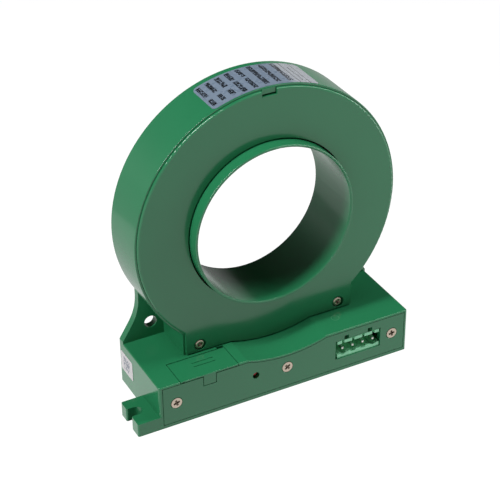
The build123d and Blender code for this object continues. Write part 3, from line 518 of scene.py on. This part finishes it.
def rim_rows(finish, angle, sizes):
    """One in the rows that carry bars, and nought between them."""
    span = math.radians(RIM_SPAN)
    half = sizes.rim_row / 2 / span
    stops = [(0.0, 0.0)]
    for row in RIM_ROWS:
        middle = math.radians(row) / span + 0.5
        stops += [(middle - half, 1.0), (middle + half, 0.0)]
    return finish.steps(finish.sum("ADD", finish.sum("DIVIDE", angle, span), 0.5), stops)


def rim_rule(finish, angle, degrees, sizes):
    """Ruled line across the rim at an angle."""
    low = math.radians(degrees) - sizes.rim_line / 2
    return finish.band(angle, low, low + sizes.rim_line)


def rim_print(finish, angle, sizes):
    """All print on the rim label: rows of broken bars and three ruled lines."""
    behind = finish.sum("SUBTRACT", finish.axes["Y"], RIM_LOW.y / MM)
    along = finish.sum("DIVIDE", behind, (RIM_HIGH.y - RIM_LOW.y) / MM)
    specks = rim_specks(finish, angle, sizes.dash / MM)
    bars = finish.sum("MULTIPLY", rim_words(finish, along, angle), specks)
    ink = finish.sum("MULTIPLY", rim_rows(finish, angle, sizes), bars)
    for degrees in RIM_RULES:
        ink = finish.sum("MAXIMUM", ink, rim_rule(finish, angle, degrees, sizes))
    short = rim_rule(finish, angle, RIM_SHORT_RULE, sizes)
    short = finish.sum("MULTIPLY", short, finish.band(along, *SHORT_RULE))
    return finish.sum("MAXIMUM", ink, short)


def rim_film(colours, sizes):
    """Grey printed film whose right end a painted reflection makes paler; the print is glossier
    than the film.
    """
    finish = Finish("rim_film", colours.label, roughness=0.3)
    finish.shade(finish.noise(size=12, detail=2), spread=0.03)
    angle = finish.ring_angle()
    # Painted reflection: the label grows paler towards its right end
    end = ((0.0, 0.0), (math.radians(REFLECTION_FROM), 0.0), (math.radians(REFLECTION_TO), 1.0))
    finish.paint(finish.steps(angle, end, smooth=True), colours.painted_label_reflection)
    ink = rim_print(finish, angle, sizes)
    finish.paint(ink, colours.ink)
    bare = finish.sum("SUBTRACT", 1.0, ink)
    finish.gloss(finish.sum("MULTIPLY", finish.noise(size=3, detail=2), bare), spread=0.08)
    finish.bump(finish.noise(size=0.8, detail=2), height=0.004)
    return finish.material


def side_film(colours, sizes):
    """White label with a plain field of small grey blocks."""
    finish = Finish("side_film", colours.white_label, roughness=0.42)
    finish.shade(finish.noise(size=5, detail=2), spread=0.02)
    middle = (SIDE_LOW + SIDE_HIGH) / 2 / MM
    half = (SIDE_HIGH.z - SIDE_LOW.z) / 2 / MM * FIELD_SHARE
    deep = finish.band(finish.axes["Y"], middle.y - half, middle.y + half)
    tall = finish.band(finish.axes["Z"], middle.z - half, middle.z + half)
    cell = sizes.side_cell / MM
    grid = finish.vector("SNAP", finish.place, (1.0, cell, cell))
    flat = finish.vector("MULTIPLY", grid, (0.0, 1.0, 1.0))
    noise = finish.add("ShaderNodeTexWhiteNoise", noise_dimensions="3D")
    finish.feed(noise.inputs["Vector"], flat)
    blocks = finish.sum("GREATER_THAN", noise.outputs["Value"], FIELD_BLANKS)
    field = finish.sum("MULTIPLY", deep, tall)
    finish.paint(finish.sum("MULTIPLY", field, blocks), colours.pale_ink)
    finish.gloss(finish.noise(size=2, detail=2), spread=0.04)
    finish.bump(finish.noise(size=0.6, detail=2), height=0.003)
    return finish.material


def header_moulding(colours):
    """Satin mint moulding of the terminal header."""
    finish = Finish("header_moulding", colours.header, roughness=0.35)
    finish.shade(finish.noise(size=3, detail=3), spread=0.05)
    finish.gloss(finish.noise(size=1.5, detail=3), spread=0.07)
    finish.bump(finish.noise(size=0.25, detail=2), height=0.004)
    return finish.material


def nickel_plate(colours):
    """Warm nickel with fine turning marks."""
    finish = Finish("nickel_plate", colours.nickel, roughness=0.31, metallic=1.0)
    finish.shade(finish.noise(size=1.2, detail=3), spread=0.08)
    finish.gloss(finish.noise(size=0.4, detail=3), spread=0.09)
    finish.bump(finish.noise(size=0.12, detail=2, stretch=(1, 6, 1)), height=0.004)
    return finish.material


def shaded_recess_plate(colours):
    """Duller, rougher nickel for a driver recess, made darker as painted shade."""
    finish = Finish("shaded_recess_plate", colours.recess, roughness=0.51, metallic=1.0)
    finish.shade(finish.noise(size=0.5, detail=3), spread=0.2)
    finish.gloss(finish.noise(size=0.3, detail=2), spread=0.09)
    finish.bump(finish.noise(size=0.12, detail=2), height=0.006)
    return finish.material


def tinned_contact(colours):
    """Tin plate, a little dull."""
    finish = Finish("tinned_contact", colours.tin, roughness=0.28, metallic=1.0)
    finish.shade(finish.noise(size=0.8, detail=3), spread=0.07)
    finish.gloss(finish.noise(size=0.5, detail=2), spread=0.08)
    finish.bump(finish.noise(size=0.15, detail=2), height=0.003)
    return finish.material


def lamp_resin(colours):
    """Dark red clear resin, unlit."""
    finish = Finish("lamp_resin", colours.lamp, roughness=0.1, ior=1.54, coat=0.4)
    finish.shade(finish.noise(size=0.8, detail=2), spread=0.18)
    finish.gloss(finish.noise(size=0.6, detail=2), spread=0.04)
    finish.bump(finish.noise(size=0.5, detail=1), height=0.002)
    return finish.material


def black_moulding(colours):
    """Matt black moulding compound."""
    finish = Finish("black_moulding", colours.black, roughness=0.51)
    finish.shade(finish.noise(size=1.2, detail=3), spread=0.2)
    finish.gloss(finish.noise(size=0.8, detail=2), spread=0.09)
    finish.bump(finish.noise(size=0.12, detail=2), height=0.006)
    return finish.material


def board_resist(colours):
    """Green resist with traces under it and the weave of the glass."""
    finish = Finish("board_resist", colours.laminate, roughness=0.33)
    finish.shade(finish.noise(size=8, detail=2), spread=0.12)
    edges = finish.cells(size=TRACE_CELL, feature="DISTANCE_TO_EDGE")
    trace = finish.sum("LESS_THAN", edges, TRACE_WIDTH)
    finish.paint(finish.sum("MULTIPLY", trace, TRACE_COVER), colours.trace)
    finish.gloss(finish.noise(size=2, detail=2), spread=0.07)
    finish.bump(finish.noise(size=0.35, detail=1, stretch=(1, 4, 1)), height=0.004)
    finish.bump(trace, height=0.03)
    return finish.material


def white_moulding(colours):
    """Satin white nylon."""
    finish = Finish("white_moulding", colours.white, roughness=0.41)
    finish.shade(finish.noise(size=4, detail=3), spread=0.04)
    finish.gloss(finish.noise(size=2, detail=2), spread=0.07)
    finish.bump(finish.noise(size=0.3, detail=2), height=0.005)
    return finish.material


def lead_sleeve(colours):
    """Soft insulation with faint rings from its drawing."""
    finish = Finish("lead_sleeve", colours.sleeve, roughness=0.45)
    finish.shade(finish.noise(size=1.5, detail=2), spread=0.06)
    finish.gloss(finish.noise(size=1, detail=2), spread=0.07)
    finish.bump(finish.noise(size=0.4, detail=1, stretch=(0.2, 0.2, 1)), height=0.01)
    return finish.material


def wire_winding(colours):
    """Enamelled wire laid side by side round the core case, with painted shadow between the turns.
    """
    finish = Finish("wire_winding", colours.copper, roughness=0.26, metallic=0.8)
    swing = finish.sum("MULTIPLY", finish.ring_angle(), float(WINDING_TURNS))
    wave = finish.sum("MULTIPLY_ADD", finish.sum("SINE", swing), 0.5, 0.5)
    finish.shade(finish.noise(size=6, detail=3), spread=0.12)
    # Painted shadow in the gap between two turns of wire
    gap = finish.sum("LESS_THAN", wave, WIRE_GAP)
    finish.paint(finish.sum("MULTIPLY", gap, GAP_SHADOW_COVER), colours.wire_gap_shadow)
    finish.gloss(finish.noise(size=3, detail=2), spread=0.06)
    finish.bump(wave, height=0.12)
    return finish.material


def winding_film(colours):
    """Amber film lapped round the ring."""
    finish = Finish("winding_film", colours.tape, roughness=0.24, coat=0.2)
    turned = finish.sum("MULTIPLY", finish.ring_angle(), TAPE_LAPS / (2 * math.pi))
    laps = finish.sum("FRACT", turned)
    finish.shade(laps, spread=0.14)
    finish.gloss(finish.noise(size=4, detail=2), spread=0.06)
    finish.bump(laps, height=0.06)
    return finish.material


def strip_core(colours):
    """Thin strip wound on itself, seen as fine rings."""
    finish = Finish("strip_core", colours.core, roughness=0.365, metallic=0.9)
    away = finish.length(finish.axes["X"], finish.ring_height())
    layers = finish.sum("FRACT", finish.sum("DIVIDE", away, STRIP_THICKNESS))
    finish.shade(layers, spread=0.18)
    finish.gloss(finish.noise(size=2, detail=3), spread=0.085)
    finish.bump(layers, height=0.03)
    return finish.material


def foam(colours):
    """Closed cell foam."""
    finish = Finish("foam", colours.foam, roughness=0.85)
    bubbles = finish.cells(size=0.9)
    finish.shade(bubbles, spread=0.25)
    finish.gloss(finish.noise(size=1, detail=2), spread=0.07)
    finish.bump(bubbles, height=0.08)
    return finish.material


def drawn_can(colours):
    """Drawn metal can with fine drawing lines."""
    finish = Finish("drawn_can", colours.can, roughness=0.29, metallic=1.0)
    finish.shade(finish.noise(size=1.5, detail=3, stretch=(1, 1, 0.15)), spread=0.08)
    finish.gloss(finish.noise(size=1, detail=2), spread=0.07)
    finish.bump(finish.noise(size=0.2, detail=2, stretch=(1, 1, 0.1)), height=0.004)
    return finish.material


def sintered_ferrite(colours):
    """Dark sintered grain."""
    finish = Finish("sintered_ferrite", colours.ferrite, roughness=0.455)
    finish.shade(finish.cells(size=0.4), spread=0.25)
    finish.gloss(finish.noise(size=0.6, detail=3), spread=0.095)
    finish.bump(finish.noise(size=0.15, detail=3), height=0.01)
    return finish.material


def deselect():
    """Leave nothing selected, so that an operator acts on what comes next alone."""
    if bpy.context.object is not None and bpy.context.object.mode != "OBJECT":
        bpy.ops.object.mode_set(mode="OBJECT")
    bpy.ops.object.select_all(action="DESELECT")


def make_active(piece):
    """Select one piece alone."""
    deselect()
    piece.select_set(True)
    bpy.context.view_layer.objects.active = piece


def apply_transform():
    """Write the selected piece's place, turn and scale into its mesh."""
    bpy.ops.object.transform_apply(location=True, rotation=True, scale=True)


def pick_faces(piece, test):
    """Select, in edit mode, the faces whose normal passes a test."""
    mesh = bmesh.from_edit_mesh(piece.data)
    bpy.ops.mesh.select_all(action="DESELECT")
    for face in mesh.faces:
        face.select_set(test(face.normal))
    bmesh.update_edit_mesh(piece.data)


def pick_edges(piece, test):
    """Select, in edit mode, the edges whose two ends pass a test."""
    mesh = bmesh.from_edit_mesh(piece.data)
    bpy.ops.mesh.select_all(action="DESELECT")
    for edge in mesh.edges:
        if all(test(vertex.co) for vertex in edge.verts):
            edge.select_set(True)
    bmesh.update_edit_mesh(piece.data)


def faces_down(normal):
    """Whether a face looks down."""
    return normal.z < LOOKS_DOWN


def apply_modifier(piece, kind, **settings):
    """Add a modifier with those settings and apply it at once."""
    make_active(piece)
    modifier = piece.modifiers.new(kind.lower(), kind)
    for key, value in settings.items():
        setattr(modifier, key, value)
    bpy.ops.object.modifier_apply(modifier=modifier.name)


def discard(piece):
    """Delete a piece that only served to make another."""
    make_active(piece)
    bpy.ops.object.delete()


def recess_cutter(arm, width, depth):
    """Cross of two tapered blades that cuts a driver recess into a head at height nought."""
    deselect()
    bpy.ops.mesh.primitive_cube_add(size=1, location=(0, 0, (CUTTER_RISE - depth) / 2))
    blade = bpy.context.object
    bpy.ops.transform.resize(value=(2 * arm, width, depth + CUTTER_RISE))
    apply_transform()
    bpy.ops.object.mode_set(mode="EDIT")
    pick_faces(blade, faces_down)
    bpy.ops.transform.resize(value=BLADE_FLOOR, center_override=(0, 0, -depth))
    bpy.ops.object.mode_set(mode="OBJECT")
    bpy.ops.object.duplicate()
    second = bpy.context.object
    bpy.ops.transform.rotate(value=math.pi / 2, orient_axis="Z", center_override=(0, 0, 0))
    apply_transform()
    apply_modifier(blade, "BOOLEAN", object=second, operation="UNION", solver="EXACT")
    discard(second)
    return blade


def thread_ridge(root, height, pitch, top, bottom):
    """Ridge that runs down the shank as a helix."""
    deselect()
    bpy.ops.mesh.primitive_circle_add(
        vertices=4, radius=height, fill_type="NOTHING", location=(root, 0, bottom + height),
        rotation=(math.pi / 2, 0, 0))
    ridge = bpy.context.object
    apply_transform()
    turns = max(1, int((top - bottom - 2 * height) / pitch))
    apply_modifier(
        ridge, "SCREW", axis="Z", screw_offset=pitch, iterations=turns, steps=THREAD_STEPS,
        render_steps=THREAD_STEPS, angle=2 * math.pi, use_smooth_shade=False)
    bpy.ops.object.mode_set(mode="EDIT")
    bpy.ops.mesh.select_all(action="SELECT")
    bpy.ops.mesh.remove_doubles(threshold=WELD)
    bpy.ops.mesh.fill_holes(sides=4)
    bpy.ops.mesh.select_all(action="SELECT")
    bpy.ops.mesh.normals_make_consistent(inside=False)
    bpy.ops.object.mode_set(mode="OBJECT")
    return ridge


def mark_recess(screw, arm, depth):
    """Give the walls and the floor of the driver recess the screw's second finish, the darker
    nickel that paints shade into the recess.
    """
    for face in screw.data.polygons:
        away = face.center.xy.length
        inward = face.normal.xy.dot(face.center.xy) <= INWARD_LIMIT * away
        level = -RECESS_SLACK * depth < face.center.z < -RECESS_TOP * depth
        within = level and away < RECESS_SLACK * arm
        face.material_index = int(inward and within and face.normal.z > UNDERSIDE)


def turned_body(name, head, head_depth, shank, length, countersunk):
    """Screw along the Z axis without thread and recess: head at height nought, point below."""

    def on_rim(place):
        """Whether a vertex lies on the upper edge of the head."""
        return place.z > -LEVEL_SLACK and place.xy.length > head * EDGE_SHARE

    deselect()
    bpy.ops.mesh.primitive_cylinder_add(
        vertices=HEAD_VERTICES, radius=head, depth=head_depth, location=(0, 0, -head_depth / 2))
    screw = bpy.context.object
    screw.name = name
    bpy.ops.object.material_slot_add()
    bpy.ops.object.material_slot_add()
    apply_transform()
    bpy.ops.object.mode_set(mode="EDIT")
    pick_faces(screw, faces_down)
    if countersunk:
        cone = (shank / head, shank / head, 1)
        bpy.ops.transform.resize(value=cone, center_override=(0, 0, -head_depth))
    else:
        bpy.ops.mesh.inset(thickness=head - shank)
    tip = TIP_LENGTH * shank
    for drop in (length - head_depth - tip, tip):
        bpy.ops.mesh.extrude_region_move(TRANSFORM_OT_translate={"value": (0, 0, -drop)})
    point = (TIP_RADIUS, TIP_RADIUS, 1)
    bpy.ops.transform.resize(value=point, center_override=(0, 0, -length))
    pick_edges(screw, on_rim)
    bpy.ops.mesh.bevel(
        offset=COUNTERSUNK_EDGE if countersunk else head_depth * PAN_ROUNDING,
        segments=COUNTERSUNK_SEGMENTS if countersunk else PAN_SEGMENTS, profile=0.5,
        affect="EDGES")
    bpy.ops.object.mode_set(mode="OBJECT")
    return screw


def screw_body(name, head, head_depth, shank, length, countersunk, sizes):
    """Screw along the Z axis: its head at the top, a thread on its shank and a driver recess."""
    screw = turned_body(name, head, head_depth, shank, length, countersunk)
    arm = head * sizes.arm
    cutter = recess_cutter(arm, sizes.recess_width, sizes.recess_depth)
    apply_modifier(screw, "BOOLEAN", object=cutter, operation="DIFFERENCE", solver="EXACT")
    discard(cutter)
    thread_top = -head_depth - THREAD_START
    thread_end = TIP_LENGTH * shank - length
    ridge = thread_ridge(shank, sizes.thread, sizes.pitch, thread_top, thread_end)
    make_active(screw)
    ridge.select_set(True)
    bpy.ops.object.join()
    mark_recess(screw, arm, sizes.recess_depth)
    bpy.ops.object.shade_smooth_by_angle(angle=SMOOTH_ANGLE)
    return screw


def front_seats(low, high, head, twists):
    """Seats in a row across the front of a box; each is a place and a twist of the recess."""
    span = (high.x - low.x) / 2 - head
    last = len(twists) - 1
    return [
        (Vector(((2 * index / last - 1) * span, low.y, (low.z + high.z) / 2)), twist)
        for index, twist in enumerate(twists)
    ]


def board_seats(low, high, head, twists):
    """Seats in the four corners of the top of a box."""
    corners = [
        (x, y) for x in (low.x + head, high.x - head) for y in (low.y + head, high.y - head)
    ]
    return [(Vector((x, y, high.z)), twist) for (x, y), twist in zip(corners, twists)]


def place_screws(model, name, seats, turn, finishes, stands_for):
    """Copy a screw to its seats, then delete the model."""
    for index, (seat, twist) in enumerate(seats, start=1):
        make_active(model)
        bpy.ops.object.duplicate()
        screw = bpy.context.object
        screw.name = f"{name}_{index}"
        screw.data.name = screw.name
        turned = Matrix.Translation(seat) @ turn @ Matrix.Rotation(math.radians(twist), 4, "Z")
        screw.matrix_world = turned
        apply_transform()
        for slot, finish in zip(screw.material_slots, finishes):
            slot.material = finish
        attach(screw, "base")
        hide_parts(stands_for)
    discard(model)


def dress(material, *names):
    """Give carried-over solids their finish."""
    for name in names:
        node = NODES[name]
        if not node.material_slots:
            node.data.materials.append(material)
        for slot in node.material_slots:
            slot.material = material


def clear_of_base(nodes, across, deep):
    """One on the floor round the base and its two ears, and nought under them, where painted
    shadow darkens the floor.
    """
    reach = nodes.sum("ABSOLUTE", across)
    ahead = nodes.sum("GREATER_THAN", nodes.sum("ABSOLUTE", deep), HOUSING_HIGH.y)
    past_base = nodes.sum("GREATER_THAN", reach, BASE_END)
    past_ears = nodes.sum("GREATER_THAN", reach, HOUSING_HIGH.x)
    corner = nodes.sum("MULTIPLY", across, deep)
    no_ear = nodes.sum("LESS_THAN", corner, BASE_END * EAR_FROM)
    beside = nodes.sum("MINIMUM", past_base, nodes.sum("MAXIMUM", past_ears, no_ear))
    return nodes.sum("MAXIMUM", beside, ahead)


def floor_material(studio):
    """Pale floor: white to the camera and in the gloss, with the object's shadow on it."""
    material = bpy.data.materials.new("studio_floor")
    material.use_nodes = True
    nodes = Nodes(material.node_tree)
    nodes.tree.nodes.clear()
    camera, mirrored = nodes.rays()
    place = nodes.split(nodes.coordinates("Object"))
    clear = clear_of_base(nodes, place["X"], place["Y"])
    behind = nodes.between(place["Y"], FADE_PLACES, (0.0, 1.0))
    near = nodes.blend(behind, nodes.emit(FRONT_GLOW), nodes.emit(BACK_GLOW))
    on_sheet = nodes.sum("LESS_THAN", place["Y"], studio.sheet)
    sheet = nodes.blend(on_sheet, nodes.emit(FAR_GLOW), near)
    # Painted shadow: under the base the floor glows dark in the gloss
    image = nodes.blend(clear, nodes.emit(UNDER_GLOW), sheet)
    matt = nodes.add("ShaderNodeBsdfDiffuse")
    matt.inputs["Color"].default_value = FLOOR_MATT
    light = nodes.between(place["X"], BOUNCE_PLACES, BOUNCE_GLOW)
    bounce = nodes.emit(nodes.sum("MULTIPLY", clear, light))
    pale = nodes.blend(camera, bounce, nodes.emit(WHITE_GLOW))
    white = nodes.blend(studio.floor_glow, matt.outputs[0], pale)
    output = nodes.add("ShaderNodeOutputMaterial")
    nodes.feed(output.inputs["Surface"], nodes.blend(mirrored, white, image))
    return material


def surround_world(studio):
    """Room round the object: white to the camera, dim over the object, bright low in the gloss."""
    world = bpy.data.worlds.new("studio_surround")
    bpy.context.scene.world = world
    world.use_nodes = True
    nodes = Nodes(world.node_tree)
    back = nodes.tree.nodes["Background"]
    back.inputs["Color"].default_value = (1, 1, 1, 1)
    camera, mirrored = nodes.rays()
    way = nodes.split(nodes.coordinates("Generated"))
    left = nodes.steps(way["Z"], LEFT_SHINE, smooth=True)
    right = nodes.steps(way["Z"], RIGHT_SHINE, smooth=True)
    walls = nodes.mix(nodes.sum("MULTIPLY_ADD", way["X"], SIDE_BLEND, 0.5), left, right)
    front = nodes.sum("MULTIPLY", nodes.sum("LESS_THAN", way["Y"], FRONT_FROM), FRONT_SHINE)
    gloss = nodes.sum("MULTIPLY", mirrored, nodes.sum("MAXIMUM", front, walls))
    seen = nodes.sum("MAXIMUM", gloss, camera)
    soft = nodes.sum("MULTIPLY", nodes.sum("SUBTRACT", 1.0, mirrored), studio.surround)
    nodes.feed(back.inputs["Strength"], nodes.sum("MAXIMUM", seen, soft))


def soft_lamp(name, direction, reach, power, studio):
    """Lamp wide along the base and shallow from front to back, so that the bore stays dark."""
    towards = Vector(direction).normalized()
    deselect()
    bpy.ops.object.light_add(type="AREA", location=towards * reach)
    lamp = bpy.context.object
    lamp.name = name
    lamp.data.energy = power
    lamp.data.shape = "RECTANGLE"
    lamp.data.size = studio.lamp_depth
    lamp.data.size_y = studio.lamp_width
    lamp.rotation_euler = (-towards).to_track_quat("-Z", "Y").to_euler()


def photo_camera(studio):
    """Camera at the photograph's place and angle."""
    ahead = Vector((
        math.sin(studio.heading) * math.cos(studio.dip),
        math.cos(studio.heading) * math.cos(studio.dip),
        -math.sin(studio.dip),
    ))
    level = Vector((math.cos(studio.heading), -math.sin(studio.heading), 0))
    upright = level.cross(ahead)
    right = math.cos(studio.roll) * level + math.sin(studio.roll) * upright
    top = -math.sin(studio.roll) * level + math.cos(studio.roll) * upright
    deselect()
    bpy.ops.object.camera_add()
    camera = bpy.context.object
    camera.name = "photo_camera"
    turn = Matrix((right, top, -ahead)).transposed().to_4x4()
    place = Vector((studio.camera_x, studio.camera_y, studio.camera_z))
    camera.matrix_world = Matrix.Translation(place) @ turn
    camera.data.lens = studio.lens
    camera.data.sensor_width = FILM_WIDTH
    camera.data.clip_start = 10 * MM
    bpy.context.scene.camera = camera


class SensorOperator:
    """What the sensor's operators share."""

    bl_options = {"REGISTER", "UNDO"}

    def execute(self, context):
        """Make this group from the scene's settings."""
        self.build(context.scene)
        return {"FINISHED"}


class SENSOR_OT_case(SensorOperator, bpy.types.Operator):
    """Finish the housing, the ring cover, the front panel and the access flap"""

    bl_idname = "sensor.case"
    bl_label = "Case mouldings"

    def build(self, scene):
        case = moulded_case(scene.sensor_colours)
        dress(case, "housing", "ring_cover", "front_panel", "access_door")


class SENSOR_OT_labels(SensorOperator, bpy.types.Operator):
    """Finish the two printed labels"""

    bl_idname = "sensor.labels"
    bl_label = "Labels"

    def build(self, scene):
        dress(rim_film(scene.sensor_colours, scene.sensor_labels), "rim_label")
        dress(side_film(scene.sensor_colours, scene.sensor_labels), "side_label")


class SENSOR_OT_terminal(SensorOperator, bpy.types.Operator):
    """Finish the terminal header and the contacts"""

    bl_idname = "sensor.terminal"
    bl_label = "Terminal header"

    def build(self, scene):
        dress(header_moulding(scene.sensor_colours), "terminal_header")
        dress(tinned_contact(scene.sensor_colours), "terminal_pins", "service_pins")


class SENSOR_OT_indicator(SensorOperator, bpy.types.Operator):
    """Finish the indicator lamp"""

    bl_idname = "sensor.indicator"
    bl_label = "Indicator lamp"

    def build(self, scene):
        dress(lamp_resin(scene.sensor_colours), "status_led")


class SENSOR_OT_screws(SensorOperator, bpy.types.Operator):
    """Model the screws of the panel, the cover and the circuit board"""

    bl_idname = "sensor.screws"
    bl_label = "Screws"

    def build(self, scene):
        sizes = scene.sensor_screws
        finishes = (nickel_plate(scene.sensor_colours), shaded_recess_plate(scene.sensor_colours))
        low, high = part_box("panel_screws")
        model = screw_body(
            "panel_screw", sizes.panel_head, sizes.panel_head_depth, sizes.shank,
            high.y - low.y, True, sizes)
        seats = front_seats(low, high, sizes.panel_head, PANEL_TWISTS)
        place_screws(model, "panel_screw", seats, FACES_FRONT, finishes, "panel_screws")
        low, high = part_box("cover_screws")
        model = screw_body(
            "cover_screw", sizes.cover_head, sizes.cover_head_depth, sizes.shank,
            high.y - low.y, False, sizes)
        seats = front_seats(low, high, sizes.cover_head, COVER_TWISTS)
        place_screws(model, "cover_screw", seats, FACES_FRONT, finishes, "cover_screws")
        low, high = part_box("board_screws")
        model = screw_body(
            "board_screw", sizes.board_head, sizes.board_head_depth, sizes.board_shank,
            high.z - low.z, False, sizes)
        seats = board_seats(low, high, sizes.board_head, BOARD_TWISTS)
        place_screws(model, "board_screw", seats, Matrix.Identity(4), finishes, "board_screws")


class SENSOR_OT_board(SensorOperator, bpy.types.Operator):
    """Finish the circuit board and what stands on it"""

    bl_idname = "sensor.board"
    bl_label = "Circuit board"

    def build(self, scene):
        colours = scene.sensor_colours
        dress(board_resist(colours), "circuit_board")
        dress(black_moulding(colours), "led_holder", "service_header", "microcontroller",
              "bus_transceiver", "dc_converter")
        dress(drawn_can(colours), "crystal", "electrolytics")
        dress(sintered_ferrite(colours), "power_choke", "chip_parts")
        dress(white_moulding(colours), "lead_socket", "core_case", "core_case_lid")


class SENSOR_OT_coil(SensorOperator, bpy.types.Operator):
    """Finish the coil, its foam and its wires"""

    bl_idname = "sensor.coil"
    bl_label = "Coil"

    def build(self, scene):
        colours = scene.sensor_colours
        dress(wire_winding(colours), "secondary_winding")
        dress(winding_film(colours), "winding_tape")
        dress(strip_core(colours), "toroid_core")
        dress(foam(colours), "foam_rings")
        dress(lead_sleeve(colours), "coil_leads")


class SENSOR_OT_stage(SensorOperator, bpy.types.Operator):
    """Set up the floor, the surround, the two lamps and the camera"""

    bl_idname = "sensor.stage"
    bl_label = "Studio"

    def build(self, scene):
        studio = scene.sensor_studio
        deselect()
        bpy.ops.mesh.primitive_plane_add(size=FLOOR_SIZE, location=(0, 0, 0))
        floor = bpy.context.object
        floor.name = "studio_floor"
        floor.data.materials.append(floor_material(studio))
        surround_world(studio)
        soft_lamp("key_lamp", KEY_DIRECTION, studio.key_reach, studio.key_power, studio)
        soft_lamp("fill_lamp", FILL_DIRECTION, studio.fill_reach, studio.fill_power, studio)
        photo_camera(studio)
        scene.view_settings.view_transform = "Standard"


class SENSOR_PT_sensor(bpy.types.Panel):
    """Steps and settings of the sensor"""

    bl_idname = "SENSOR_PT_sensor"
    bl_label = "Leakage current sensor"
    bl_space_type = "VIEW_3D"
    bl_region_type = "UI"
    bl_category = "Sensor"

    def draw(self, context):
        """A button for each step, and a box for each group of settings."""
        layout = self.layout
        for operator in OPERATORS:
            layout.operator(operator.bl_idname)
        for name in SETTINGS:
            group = getattr(context.scene, name)
            box = layout.box()
            for key in type(group).__annotations__:
                box.prop(group, key)


SETTINGS = {
    "sensor_colours": SensorColours,
    "sensor_screws": ScrewSizes,
    "sensor_labels": LabelSizes,
    "sensor_studio": StudioSettings,
}
OPERATORS = (
    SENSOR_OT_case,
    SENSOR_OT_labels,
    SENSOR_OT_terminal,
    SENSOR_OT_indicator,
    SENSOR_OT_screws,
    SENSOR_OT_board,
    SENSOR_OT_coil,
    SENSOR_OT_stage,
)


def register():
    """Make the settings, the operators and the panel known."""
    for cls in (*SETTINGS.values(), *OPERATORS, SENSOR_PT_sensor):
        bpy.utils.register_class(cls)
    for name, group in SETTINGS.items():
        setattr(bpy.types.Scene, name, bpy.props.PointerProperty(type=group))


def unregister():
    """Take the settings, the operators and the panel away."""
    for name in SETTINGS:
        delattr(bpy.types.Scene, name)
    for cls in reversed((*SETTINGS.values(), *OPERATORS, SENSOR_PT_sensor)):
        bpy.utils.unregister_class(cls)


def main():
    """Run every step."""
    register()
    bpy.ops.sensor.case()
    bpy.ops.sensor.labels()
    bpy.ops.sensor.terminal()
    bpy.ops.sensor.indicator()
    bpy.ops.sensor.screws()
    bpy.ops.sensor.board()
    bpy.ops.sensor.coil()
    bpy.ops.sensor.stage()


if __name__ == "__main__":
    main()
